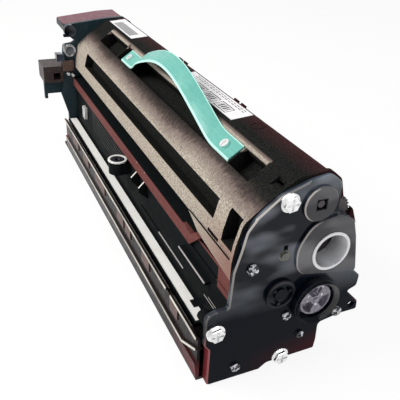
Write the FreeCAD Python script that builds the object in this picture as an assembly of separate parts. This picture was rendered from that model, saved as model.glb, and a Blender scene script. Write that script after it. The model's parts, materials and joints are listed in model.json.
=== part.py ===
import FreeCAD, Part
import math
import os

# A drum unit of an office printer: photoconductor, charging, cleaning and developing sections in one
# long assembly. Millimetres. The origin is the centre of the drum bore on the face of its boss at the
# near (drive) end. +X points out of that end, +Y to the right as seen from it and +Z up.

V = FreeCAD.Vector

# Overall lengths along X, counted back from the boss face
BODY_LENGTH = 430.0
PLATE_FACE = 2.5
PLATE_THICK = 3.5
FAR_FRAME_THICK = 5.0
INLET_DEPTH = 38.0
FLOOR_Z = -96.0

# Walls and clearances
CASE_WALL = 2.4
RUN_FIT = 0.05
FACE_GAP = 0.35
SIDE_PLAY = 0.6

# Drum
DRUM_R = 15.0
DRUM_WALL = 0.75
DRUM_START = 24.0
DRUM_END = BODY_LENGTH - 18.0
BUSH_R = 12.6
BUSH_WALL = 1.3
BUSH_LENGTH = 16.0
FAR_JOURNAL_R = 6.0
FAR_COLLAR_R = 9.0

# Gears: one module, drum group and developing group in two planes
GEAR_MODULE = 0.8
GEAR_BACKLASH = 0.12
DRUM_TEETH = 42
WASTE_IDLER_TEETH = 24
WASTE_TEETH = 30
DRIVE_TEETH = 38
SLEEVE_TEETH = 22
FEED_TEETH = 28
RETURN_TEETH = 32
DRUM_GEAR_PLANE = (8.0, 15.0)
DEV_GEAR_PLANE = (17.0, 23.0)

# Charging section
CHARGE_R = 6.0
CHARGE_SHAFT_R = 3.0
CHARGE_ANGLE = 150.0
CHARGE_CLEANER_R = 4.0
CHARGE_CLEANER_SHAFT_R = 1.5

# Developing section
SLEEVE_R = 9.5
SLEEVE_WALL = 0.8
SLEEVE_ANGLE = 228.0
MAGNET_R = 8.3
MAGNET_SHAFT_R = 3.0
AUGER_R = 8.5
AUGER_SHAFT_R = 3.0
AUGER_PITCH = 30.0
AUGER_BLADE = 1.6
CHAMBER_GAP = 1.1
FEED_ANGLE = 207.0
RETURN_ANGLE = 225.0
DRIVE_ANGLE = -62.0

# Waste toner section
WASTE_Y = -14.0
WASTE_Z = 38.0
WASTE_R = 6.0
WASTE_SHAFT_R = 2.5
WASTE_PITCH = 22.0

# Carrying strap
STRAP_WIDTH = 15.0
STRAP_THICK = 1.8
STRAP_NEAR = 88.0
STRAP_FAR = 286.0
STRAP_FOOT = 23.0
STRAP_RISE = 27.0

# Drive cup and coupling
CUP_R = 18.2
CUP_BORE_R = 13.6
CUP_FRONT = 5.0
COUPLING_R = 12.2

# Screws
BIG_HEAD_R = 6.6
SMALL_HEAD_R = 3.6


def along(y, z, angle, distance):
    """Point at an angle and a distance from (y, z) in the cross-section."""
    turn = math.radians(angle)
    return (y + distance * math.cos(turn), z + distance * math.sin(turn))


def pitch_r(teeth):
    return GEAR_MODULE * teeth / 2.0


# Axes of everything that turns, as (y, z)
DRUM = (0.0, 0.0)
CHARGE = along(0.0, 0.0, CHARGE_ANGLE, DRUM_R + CHARGE_R + FACE_GAP)
CLEANER = along(CHARGE[0], CHARGE[1], CHARGE_ANGLE, CHARGE_R + CHARGE_CLEANER_R + FACE_GAP)
SLEEVE = along(0.0, 0.0, SLEEVE_ANGLE, DRUM_R + SLEEVE_R + FACE_GAP)
FEED = along(SLEEVE[0], SLEEVE[1], FEED_ANGLE, pitch_r(SLEEVE_TEETH) + pitch_r(FEED_TEETH))
RETURN = along(FEED[0], FEED[1], RETURN_ANGLE, pitch_r(FEED_TEETH) + pitch_r(RETURN_TEETH))
DRIVE = along(SLEEVE[0], SLEEVE[1], DRIVE_ANGLE, pitch_r(SLEEVE_TEETH) + pitch_r(DRIVE_TEETH))
WASTE = (WASTE_Y, WASTE_Z)


def idler_axis():
    """The idler meets the drum gear and the waste gear, on the right of the line between them."""
    first = pitch_r(DRUM_TEETH) + pitch_r(WASTE_IDLER_TEETH)
    second = pitch_r(WASTE_TEETH) + pitch_r(WASTE_IDLER_TEETH)
    span = math.hypot(WASTE_Y, WASTE_Z)
    run = (first ** 2 - second ** 2 + span ** 2) / (2.0 * span)
    rise = math.sqrt(first ** 2 - run ** 2)
    ahead = (WASTE_Y / span, WASTE_Z / span)
    return (run * ahead[0] + rise * ahead[1], run * ahead[1] - rise * ahead[0])


IDLER = idler_axis()

# Outline of the top casing in the cross-section: (y, z, corner radius)
CASE_SLOPE_LOW = (-48.0, 42.0)
CASE_SLOPE_HIGH = (-35.0, 51.0)
CASE_OUTLINE = [
    (-70.0, 1.5, 1.5),
    (-68.0, 15.0, 6.0),
    (-64.0, 30.0, 9.0),
    (-48.5, 42.2, 12.0),
    (-30.0, 55.0, 5.0),
    (-7.0, 57.0, 5.0),
    (1.5, 50.0, 6.0),
    (5.5, 36.0, 6.0),
    (15.5, 25.0, 6.0),
    (20.0, 14.0, 1.0),
    (12.0, 9.0, 0.0),
    (-18.0, 1.5, 0.0),
]
DRUM_OPENING_R = 16.4

# Grip channel under the strap and the long recess in the casing's side
GRIP_START = 35.0
GRIP_END = BODY_LENGTH - 41.0
GRIP_DEPTH = 13.0
GRIP_RIB_X = 328.0
ROLL_R = 6.0
RECESS_START = 41.0
RECESS_END = BODY_LENGTH - 44.0
RECESS_TOP = (-64.3, 29.5)
RECESS_LOW = (-68.1, 15.2)
RECESS_DEPTH = 9.0
WINDOW = (9.0, 26.0)
WINDOW_Z = (8.0, 31.0)

# Rib of the development housing and the exposure slot above it
RIB_Y = -73.0
RIB_TOP_Z = -10.5
RIB_LOW_Z = -20.3
SLOT_NEAR = 57.0
HOUSING_LEFT = -70.0
HOUSING_BOTTOM = -62.5
STRIP_Z = -63.0
STRIP_Y = (-79.8, -72.0)
STRIP_THICK = 0.8
LEDGE_Y = -82.0
LEDGE_LOW_Z = -67.5
HOUSING_OUTLINE = [
    (RIB_Y, RIB_TOP_Z, 1.0),
    (-27.0, -8.5, 0.0),
    (-27.0, -15.0, 0.0),
    (-10.0, -14.0, 0.0),
    (-6.0, -20.4, 0.0),
    (-3.2, -24.0, 1.2),
    (-3.2, -31.0, 4.0),
    (-24.0, -43.0, 6.0),
    (-38.0, HOUSING_BOTTOM, 8.0),
    (-60.0, HOUSING_BOTTOM, 4.0),
    (-68.0, LEDGE_LOW_Z, 2.0),
    (LEDGE_Y, LEDGE_LOW_Z, 1.0),
    (LEDGE_Y, STRIP_Z - STRIP_THICK, 0.5),
    (HOUSING_LEFT, STRIP_Z - STRIP_THICK, 0.0),
    (HOUSING_LEFT, -23.0, 0.0),
    (RIB_Y, RIB_LOW_Z, 0.8),
]
CHAMBER_START = 26.0
CHAMBER_END = BODY_LENGTH - 26.0
CHAMBER_WALL = 3.0

# Lower guide at the left, from its top rib down to the tray
GUIDE_Y = -90.0
GUIDE_TOP_Z = -56.0
GUIDE_RIB_Z = -79.0
GUIDE_END = BODY_LENGTH - 18.0
TRAY_THICK = 2.4
TRAY_RIGHT = 5.0

# Near end plate: (y, z, corner radius)
PLATE_OUTLINE = [
    (-70.5, -2.2, 6.0),
    (-66.5, 13.0, 8.0),
    (-63.8, 26.5, 10.0),
    (-57.5, 35.5, 14.0),
    (-42.0, 48.0, 14.0),
    (-23.0, 54.6, 14.0),
    (-7.5, 57.0, 6.0),
    (0.8, 50.5, 3.0),
    (2.2, 38.2, 3.0),
    (2.0, 27.5, 3.0),
    (13.0, 22.5, 5.0),
    (18.0, 14.0, 4.0),
    (22.5, -4.0, 6.0),
    (26.0, -24.5, 4.0),
    (33.0, -31.0, 3.5),
    (32.5, -40.0, 4.0),
    (24.5, -43.0, 1.5),
    (36.8, -55.8, 4.0),
    (37.6, -63.4, 2.5),
    (22.0, -63.4, 2.0),
    (4.2, -66.5, 3.0),
    (5.0, -83.0, 3.0),
    (4.2, -91.1, 2.0),
    (-36.2, -91.6, 3.0),
    (-42.2, FLOOR_Z, 1.5),
    (-83.7, FLOOR_Z, 2.5),
    (-83.7, -62.8, 2.0),
    (-87.3, -58.0, 2.5),
    (-87.3, -33.5, 5.0),
    (-80.0, -30.5, 3.0),
    (-71.5, -30.5, 1.5),
]
BOSS_OUTLINE = [
    (-27.5, 6.0, 22.0),
    (-17.0, 24.5, 16.0),
    (4.0, 27.0, 10.0),
    (15.0, 21.0, 5.0),
    (19.5, 7.0, 5.0),
    (24.0, -15.0, 6.0),
    (25.6, -24.0, 3.0),
    (8.0, -20.5, 12.0),
    (-24.0, -14.0, 12.0),
]


# Smaller sizes of the casing
FLANGE_THICK = 3.0
FLANGE_STEP = 1.3
WINDOW_BACK_Y = -57.0
SIDE_SLIT = (29.0, 45.0)
SIDE_SLIT_Z = (4.2, 6.6)
SNAP_NOTCH = (11.0, 20.0)
SNAP_NOTCH_Y = (-41.0, -34.5)
SNAP_NOTCH_Z = (44.0, 60.0)
DECK_RING = (85.0, -14.8)
DECK_RING_R = 5.5
DECK_RING_WALL = 1.1
DECK_RING_HEIGHT = 0.5
NUBS = (129.0, 141.0, 248.0, 260.0)
NUB_LENGTH = 4.0
NUB_SHARES = (0.4, 0.75)
NUB_HEIGHT = 1.8
NUB_SINK = 1.0
TROUGH_START = 17.0
TROUGH_WALL = 1.6
WASTE_GAP = 1.2
GRIP_RIB_THICK = 2.0
GRIP_RIB_DROP = 1.5
LIP_START = 1.03
LIP_GAP = (307.0, 326.0)
LIP_HEIGHT = 1.0
LIP_SHARE = 0.16
BRIDGE_START = 74.0
BRIDGE_NEAR_Z = -4.5
BRIDGE_PLATE_Z = -10.0
GEAR_ROOM = 1.0
SCREW_BOSS_R = 4.5
SCREW_BOSS_END = 22.0
SCREW_HOLE_R = 2.1

# Strap seats and screws
STRAP_SCREW_NEAR = STRAP_NEAR - 8.0
STRAP_SCREW_FAR = STRAP_FAR + 10.0
STRAP_SCREW_LENGTH = 9.0
STRAP_EDGE = 0.01
SLOPE_RUN = math.hypot(CASE_SLOPE_HIGH[0] - CASE_SLOPE_LOW[0], CASE_SLOPE_HIGH[1] - CASE_SLOPE_LOW[1])
STRAP_SEAT = STRAP_THICK * (CASE_SLOPE_HIGH[0] - CASE_SLOPE_LOW[0]) / SLOPE_RUN
STRAP_SHAPE = [(0.0, 0.0), (0.12, 0.2), (0.3, 0.68), (0.44, 0.95), (0.53, 1.0), (0.62, 0.95), (0.71, 0.8),
               (0.81, 0.56), (0.91, 0.24), (1.0, 0.0)]

# Screw places on the near end plate
PLATE_SCREW_TOP = (-37.0, 43.0)
PLATE_SCREW_LEFT = (-80.2, -47.5)
PLATE_SCREW_LOW = (-26.5, -86.5)
PLATE_SCREWS = [PLATE_SCREW_TOP, PLATE_SCREW_LEFT, PLATE_SCREW_LOW]
SMALL_SCREWS = [(-57.4, -2.2), (-26.0, -49.5), (17.5, -58.5), (-12.0, -71.0), (-62.5, -85.0)]
SMALL_SCREW_HEADS = [4.0, 3.3, 4.0, 3.0, 3.5]
BIG_FLANGE = 1.4
BIG_HEAD_HEIGHT = 4.6
SMALL_HEAD_HEIGHT = 2.0

# Near end plate details
UPPER_BOSS_R = 12.5
PLATE_BEVEL = 1.0
BOSS_BEVEL = 0.8
HEAD_BEVEL = 0.4
SKIRT_WALL = 2.2
SKIRT_END = 24.0
SKIRT_TOP_Z = -16.0
SKIRT_LOW_Z = -84.0
HOUSING_SIDE_Y = -68.0
LEFT_LIP_END = 9.6
COLLAR_WALL = 2.2
COLLAR_END = 15.5
IDLER_PIN_R = 2.5
DRIVE_SQUARE = 4.0
HOOK = (-34.5, 2.8)
HOOK_R = 4.2
LUG_HOLE = (30.6, -56.8)
LUG_HOLE_R = 3.0
LUG_START_Y = 21.0
LUG_LOW_Z = -66.0
LUG_TOP_Z = -46.0
BUSH_RIM = 0.8
RIM_NOTCHES = (-46.0, -55.0, -64.0)
RIM_NOTCH_R = 0.7
DRUM_SOCKET_R = 8.0
CAP_R = 11.0
CAP_HEIGHT = 2.6
COUPLING_FACE = -0.5
COUPLING_TURN = 100.0
COUPLING_PIN_R = 1.8
VANE_HUB_R = 3.6
VANE_DEPTH = 5.0

# Housing details
RIB_START = 66.0
LEDGE_START = 31.0
GEAR_BAY = [(-67.4, -14.6), (-27.0, -11.1), (-24.0, -11.1), (-5.8, -24.0), (-5.8, -29.5), (-25.0, -40.5),
            (-38.0, -60.0), (-58.0, -60.0), (-67.4, -65.0)]
HOUSING_VOID = [(-67.4, -15.0), (-50.0, -13.5), (-47.5, -22.0), (-47.0, -28.0), (-58.0, -34.5),
                (-64.5, -41.0), (-65.0, -50.0), (-62.0, -57.0), (-67.4, -62.0)]
SUPPLY_MOUTH = [(-33.0, -18.0), (-21.0, -13.5), (-19.0, -26.0), (-33.0, -36.0)]
TRANSFER_MOUTH = [(-39.0, -31.0), (-36.5, -34.0), (-46.5, -42.0), (-49.0, -38.5)]
BEARING_R = 5.0
SLEEVE_BEARING_R = 6.5
STUB_R = 4.6
CAP_THICK = 3.0
SLEEVE_START = CHAMBER_START + 7.0
SLEEVE_END = CHAMBER_END - 4.0
GUSSETS = (164.0, 184.5)
GUSSET_THICK = 1.5
GUSSET_OUTLINE = [(-69.0, -22.0), (-73.2, -20.2), (-78.3, -25.3), (-78.3, -29.0), (-69.0, -38.0)]
LOW_RIDGE = (80.0, 182.0)
NEAR_SHELF = (34.0, 81.0)
PORT_X = 219.0
PORT_Y = -80.4
PORT_R = 9.0
PORT_BORE_R = 6.0
PORT_HEIGHT = 12.0
PORT_TOP_Z = -22.0
CLIP_X = BODY_LENGTH - 50.0
CLIP_Z = -38.0
STRIP_START = 33.0
STRIP_NOTCH = (46.0, 55.0)
STRIP_NOTCH_DEPTH = 3.6
DOCTOR_Y = -26.9
DOCTOR_Z = -8.3
DOCTOR_THICK = 1.5
DOCTOR_TIP_Z = -12.3
DOCTOR_REACH = 14.0

# Charging and cleaning details
CHARGE_START = DRUM_START + 10.0
CHARGE_END = DRUM_END - 10.0
CHARGE_BEARING_NEAR = 16.4
CHARGE_BEARING_FAR = BODY_LENGTH - 15.0
BEARING_LENGTH = 6.0
HOLDER_START = 6.0
SPRING_SEAT = 7.0
SPRING_PITCH = 1.3
SPRING_R = 1.8
SPRING_WIRE = 0.3
HOLDER_OUTLINE = [(-36.6, 10.0), (-34.8, 10.0), (-34.0, 21.5), (-20.0, 24.0), (-20.0, 25.6), (-35.8, 23.2)]
BLADE_TIP = (5.2, 14.75)
BLADE_LEAN = 15.0
BLADE_THICK = 2.0
BLADE_HEIGHT = 12.0
BRACKET_HEIGHT = 27.0
BRACKET_FLANGE = 3.2
SHEET = 1.6

# Guide, tray and far end
GUIDE_FACE_Y = -88.6
GUIDE_TURN = 33.0
GUIDE_RIB_RISE = 14.0
RIB_BREAK = (57.0, 66.0)
GUIDE_START = LEFT_LIP_END + 0.4
GUIDE_PADS = [(0.105, 15.0), (0.261, 18.0), (0.378, 15.0), (0.435, 20.0), (0.609, 36.0), (0.751, 24.0),
              (0.871, 28.0)]
PAD_THICK = 0.9
PAD_Z = (GUIDE_RIB_Z + 9.0, GUIDE_TOP_Z - 4.5)
GUIDE_OUTLINE = [(-90.6, -55.6, 0.5), (-88.6, -55.6, 0.5), (-86.4, -58.2), (-86.4, -65.8),
                 (-82.3, -65.8), (-82.3, -67.5), (-86.4, -67.5), (-86.4, -93.6), (-88.6, -93.6),
                 (-90.0, -80.6), (-90.6, -79.6, 0.3), (-90.6, -77.9, 0.3), (-88.6, -77.4), (-88.6, -58.4),
                 (-90.6, -57.8, 0.5)]
TRAY_LEFT = -88.4
TRAY_RIBS = (-76.0, -52.0, -28.0, -4.0)
TRAY_RIB_Z = -86.0
FAR_OUTLINE = [(-30.0, 57.2, 3.0), (-79.5, 51.5, 3.0), (-79.5, 46.0, 2.0), (-67.0, 33.5, 3.0),
               (-72.0, 30.5, 2.0), (-82.0, 29.0, 3.0), (-84.5, 8.0, 2.0), (-84.5, -16.0, 2.0),
               (-88.0, -30.0, 3.0), (-80.5, -57.0, 3.0), (-80.5, FLOOR_Z + 0.5, 2.0),
               (4.0, FLOOR_Z + 0.5, 3.0), (24.0, -40.0, 8.0), (24.0, 10.0, 8.0), (6.0, 38.0, 6.0),
               (1.0, 52.0, 4.0), (-8.0, 58.0, 3.0)]
PORT_SPAN_Y = (-62.0, -40.0)
PORT_SPAN_Z = (30.0, 42.0)
INLET_LOW_Z = PORT_SPAN_Z[0] - 6.0
INLET_OUTLINE = [(-30.0, 57.2, 3.0), (-79.5, 51.5, 2.0), (-79.5, INLET_LOW_Z + 20.0, 2.0),
                 (PORT_SPAN_Y[0] + 2.0, INLET_LOW_Z, 3.0), (PORT_SPAN_Y[1] + 18.0, INLET_LOW_Z, 3.0),
                 (-8.0, INLET_LOW_Z + 12.0, 3.0), (-8.0, 58.0, 2.0)]
RAIL_Y = (-72.0, -12.0)
SHUTTER_Y = (-64.0, -38.0)
SHUTTER_THICK = 2.0
SHUTTER_LAP = 1.6
SHUTTER_PLAY = 0.3
RAIL_WALL = 1.6
RAIL_HOOK = 1.6
KNOB = (-74.0, 46.0)
KNOB_R = 6.8
CONNECTOR_Y = (-108.0, -79.0)
CONNECTOR_Z = (-14.5, 5.0)
CONNECTOR_FRONT_Y = -85.0
CONNECTOR_DEPTH = 24.0
CONNECTOR_NOSE = 9.0
SOCKET_DEPTH = 14.0
SOCKET = 8.0
SOCKET_AT = (-92.2, -7.2)
LATCH_Y = (-92.0, -82.8)
LATCH_Z = (11.0, 19.5)
LATCH_FRAME_Y = -84.5
LATCH_PAD_Y = (-84.8, -72.0)
LATCH_PAD_Z = (-1.5, 11.0)
HARNESS = (-75.3, 22.6)
HARNESS_R = 7.0
HARNESS_BORE = 4.8
PINS = [(-79.0, -5.0), (-73.5, -7.0)]
FAR_SCREWS = [(-40.0, 10.0), (-60.0, -80.0), (-10.0, -80.0), (14.0, 0.0)]
LABEL_Y = (-26.9, -8.5)
LABEL_THICK = 0.3
REAR_LABEL_LENGTH = 82.0
REAR_LABEL_END = BODY_LENGTH - 8.0
REAR_LABEL = (REAR_LABEL_END - REAR_LABEL_LENGTH, REAR_LABEL_END)
FRONT_LABEL = (103.0, 212.0)


def corner(previous, point, following, radius):
    """Tangent points and arc middle of a rounded corner."""
    back = V(previous[0] - point[0], previous[1] - point[1], 0)
    ahead = V(following[0] - point[0], following[1] - point[1], 0)
    room = min(back.Length, ahead.Length) * 0.49
    back.normalize()
    ahead.normalize()
    half = back.getAngle(ahead) / 2.0
    reach = min(radius / math.tan(half), room)
    true_radius = reach * math.tan(half)
    here = V(point[0], point[1], 0)
    middle_way = back + ahead
    middle_way.normalize()
    centre = here + middle_way * (true_radius / math.sin(half))
    return here + back * reach, centre - middle_way * true_radius, here + ahead * reach


def section_wire(points, x):
    """Closed wire in the plane X = x, with an arc at each corner that has a radius."""
    marks = []
    count = len(points)
    for index, point in enumerate(points):
        radius = point[2] if len(point) > 2 else 0.0
        if radius > 0.0:
            marks.append(corner(points[index - 1], point, points[(index + 1) % count], radius))
        else:
            here = V(point[0], point[1], 0)
            marks.append((here, None, here))
    edges = []
    for index, (enter, middle, leave) in enumerate(marks):
        if middle is not None:
            arc = Part.Arc(V(x, enter.x, enter.y), V(x, middle.x, middle.y), V(x, leave.x, leave.y))
            edges.append(arc.toShape())
        target = marks[(index + 1) % count][0]
        if leave.distanceToPoint(target) > 1e-6:
            edges.append(Part.makeLine(V(x, leave.x, leave.y), V(x, target.x, target.y)))
    return Part.Wire(edges)


def prism(points, depth_from, depth_to):
    """Cross-section pushed along the length; depths count back from the origin plane."""
    face = Part.Face(section_wire(points, -depth_from))
    return face.extrude(V(depth_from - depth_to, 0, 0))


def inset_prism(points, inset, depth_from, depth_to):
    """The same cross-section, shrunk by an inset."""
    wire = section_wire(points, -depth_from).makeOffset2D(-inset, 2, False, False, True)
    return Part.Face(wire).extrude(V(depth_from - depth_to, 0, 0))


def rod(axis, radius, depth_from, depth_to):
    low = min(depth_from, depth_to)
    length = abs(depth_to - depth_from)
    return Part.makeCylinder(radius, length, V(-low, axis[0], axis[1]), V(-1, 0, 0))


def tube(axis, outer, inner, depth_from, depth_to):
    return rod(axis, outer, depth_from, depth_to).cut(rod(axis, inner, depth_from, depth_to))


def block(depths, ys, zs):
    return Part.makeBox(depths[1] - depths[0], ys[1] - ys[0], zs[1] - zs[0],
                        V(-depths[1], ys[0], zs[0]))


def polygon_xz(points, y_from, y_to):
    """Outline in the side view, given as (depth, z), pushed across Y."""
    wire = Part.makePolygon([V(-depth, y_from, z) for depth, z in points + points[:1]])
    return Part.Face(wire).extrude(V(0, y_to - y_from, 0))


def ease_edges(shape, x, width):
    """Bevel every edge that lies in the plane X = x."""
    edges = [edge for edge in shape.Edges
             if edge.BoundBox.XLength < 1e-4 and abs(edge.BoundBox.XMax - x) < 1e-4]
    return shape.makeChamfer(width, edges)


def join(first, *others):
    shape = first
    for other in others:
        shape = shape.fuse(other)
    return shape.removeSplitter()


def group(solids):
    return Part.makeCompound(solids)


def gear(axis, teeth, depths, phase=0.0):
    """Spur gear with involute flanks; phase is in tooth pitches."""
    radius = pitch_r(teeth)
    base = radius * math.cos(math.radians(20.0))
    tip = radius + GEAR_MODULE
    root = radius - 1.25 * GEAR_MODULE
    half_pitch = math.pi / (2.0 * teeth) - GEAR_BACKLASH / (2.0 * radius)

    def involute(r):
        turn = math.acos(min(1.0, base / r))
        return math.tan(turn) - turn

    at_pitch = involute(radius)
    start = max(base, root + 0.05)
    steps = [start + (tip - start) * k / 3.0 for k in range(4)]
    points = []
    for tooth in range(teeth):
        middle = 2.0 * math.pi * (tooth + phase) / teeth
        left = [(r, middle - half_pitch - at_pitch + involute(r)) for r in steps]
        right = [(r, middle + half_pitch + at_pitch - involute(r)) for r in reversed(steps)]
        points += [(root, left[0][1])] + left + right + [(root, right[-1][1])]
    outline = [(axis[0] + r * math.cos(a), axis[1] + r * math.sin(a)) for r, a in points]
    return prism(outline, depths[0], depths[1])


def auger(axis, radius, shaft_r, pitch, depth_from, depth_to):
    """Screw conveyor: a shaft with one helical blade."""
    length = depth_to - depth_from
    root = shaft_r - 0.6
    helix = Part.makeHelix(pitch, length - AUGER_BLADE, (root + radius) / 2.0)
    half = AUGER_BLADE / 2.0
    profile = Part.makePolygon([V(root, 0, -half), V(radius, 0, -half * 0.7), V(radius, 0, half * 0.7),
                                V(root, 0, half), V(root, 0, -half)])
    sweep = Part.BRepOffsetAPI.MakePipeShell(helix)
    sweep.setFrenetMode(True)
    sweep.add(profile)
    sweep.build()
    sweep.makeSolid()
    blade = sweep.shape()
    blade.rotate(V(0, 0, 0), V(0, 1, 0), -90)
    blade.translate(V(-depth_from - half, axis[0], axis[1]))
    return blade


def pocket(low, high, depth, inset=0.0, above=0.0):
    """Four corners of a pocket sunk from the line low-high; inset shrinks it, above lifts its mouth."""
    run = math.hypot(high[0] - low[0], high[1] - low[1])
    u = ((high[0] - low[0]) / run, (high[1] - low[1]) / run)
    inward = (u[1], -u[0])
    low_in = (low[0] + u[0] * inset, low[1] + u[1] * inset)
    high_in = (high[0] - u[0] * inset, high[1] - u[1] * inset)
    corners = []
    for start, reach in ((low_in, -above), (high_in, -above), (high_in, depth), (low_in, depth)):
        corners.append((start[0] + inward[0] * reach, start[1] + inward[1] * reach))
    return corners


def on_slope(share, lift=0.0):
    """Point on the casing's slope between the grip channel's two edges."""
    run = (CASE_SLOPE_HIGH[0] - CASE_SLOPE_LOW[0], CASE_SLOPE_HIGH[1] - CASE_SLOPE_LOW[1])
    size = math.hypot(run[0], run[1])
    return (CASE_SLOPE_LOW[0] + run[0] * share - run[1] / size * lift,
            CASE_SLOPE_LOW[1] + run[1] * share + run[0] / size * lift)


def sector(axis, inner, outer, start, stop, depth_from, depth_to):
    """Part of a ring between two angles."""
    ring = tube(axis, outer, inner, depth_from, depth_to)
    reach = outer * 3.0
    steps = max(2, int(math.ceil((stop - start) / 45.0)))
    rays = [along(axis[0], axis[1], start + (stop - start) * k / steps, reach) for k in range(steps + 1)]
    return ring.common(prism([axis] + rays, depth_from, depth_to))


def deck_direction():
    """Along the deck towards the right edge, and straight up from it."""
    start, end = CASE_OUTLINE[4], CASE_OUTLINE[5]
    run = math.hypot(end[0] - start[0], end[1] - start[1])
    return ((end[0] - start[0]) / run, (end[1] - start[1]) / run), (-(end[1] - start[1]) / run,
                                                                   (end[0] - start[0]) / run)


def deck_z(y):
    ahead = deck_direction()[0]
    return CASE_OUTLINE[4][1] + (y - CASE_OUTLINE[4][0]) * ahead[1] / ahead[0]


def on_shoulder(share, lift):
    """Point on the face that falls from the deck to the right."""
    start, end = CASE_OUTLINE[5], CASE_OUTLINE[6]
    run = (end[0] - start[0], end[1] - start[1])
    size = math.hypot(run[0], run[1])
    return (start[0] + run[0] * share - run[1] / size * lift,
            start[1] + run[1] * share + run[0] / size * lift)


def deck_rod(depth, y, radius, low, high):
    """Cylinder standing on the deck, between two heights above it."""
    normal = deck_direction()[1]
    foot = V(-depth, y + normal[0] * low, deck_z(y) + normal[1] * low)
    return Part.makeCylinder(radius, high - low, foot, V(0, normal[0], normal[1]))


def grip_roll():
    """Where the deck rolls down into the grip channel: axis, ends of the arc, and the deck's normal."""
    along_slope = ((CASE_SLOPE_HIGH[0] - CASE_SLOPE_LOW[0]) / SLOPE_RUN,
                   (CASE_SLOPE_HIGH[1] - CASE_SLOPE_LOW[1]) / SLOPE_RUN)
    inward = (along_slope[1], -along_slope[0])
    start = CASE_OUTLINE[4]
    normal = deck_direction()[1]

    def over_deck(vector):
        return vector[0] * normal[0] + vector[1] * normal[1]

    below = over_deck((start[0] - CASE_SLOPE_HIGH[0], start[1] - CASE_SLOPE_HIGH[1]))
    down = (ROLL_R * (1.0 + over_deck(along_slope)) - below) / -over_deck(inward)
    axis = (CASE_SLOPE_HIGH[0] + along_slope[0] * ROLL_R + inward[0] * down,
            CASE_SLOPE_HIGH[1] + along_slope[1] * ROLL_R + inward[1] * down)
    on_wall = (axis[0] - along_slope[0] * ROLL_R, axis[1] - along_slope[1] * ROLL_R)
    on_deck = (axis[0] + normal[0] * ROLL_R, axis[1] + normal[1] * ROLL_R)
    return axis, on_wall, on_deck, normal


def roll_the_edge(shell):
    """Close the casing under the roll, then take the sharp edge off along the grip channel."""
    axis, on_wall, on_deck, normal = grip_roll()
    first = math.degrees(math.atan2(on_deck[1] - axis[1], on_deck[0] - axis[0]))
    last = math.degrees(math.atan2(on_wall[1] - axis[1], on_wall[0] - axis[0])) % 360.0
    shell = shell.fuse(sector(axis, ROLL_R - CASE_WALL, ROLL_R, first, last,
                              GRIP_START - CASE_WALL, GRIP_END + CASE_WALL))
    for start, end in ((GRIP_START - CASE_WALL, GRIP_START), (GRIP_END, GRIP_END + CASE_WALL)):
        shell = shell.fuse(prism([CASE_SLOPE_HIGH, on_wall, axis, on_deck], start, end))
    middle = along(axis[0], axis[1], (first + last) / 2.0, ROLL_R)
    high = on_slope(1.0, ROLL_R)
    above = (on_deck[0] + normal[0] * ROLL_R, on_deck[1] + normal[1] * ROLL_R)

    def mark(point):
        return V(-GRIP_END, point[0], point[1])

    edges = [Part.Arc(mark(on_wall), mark(middle), mark(on_deck)).toShape()]
    for one, other in ((on_deck, above), (above, high), (high, on_wall)):
        edges.append(Part.makeLine(mark(one), mark(other)))
    face = Part.Face(Part.Wire(edges))
    return shell.cut(face.extrude(V(GRIP_END - GRIP_START, 0, 0)))


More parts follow.
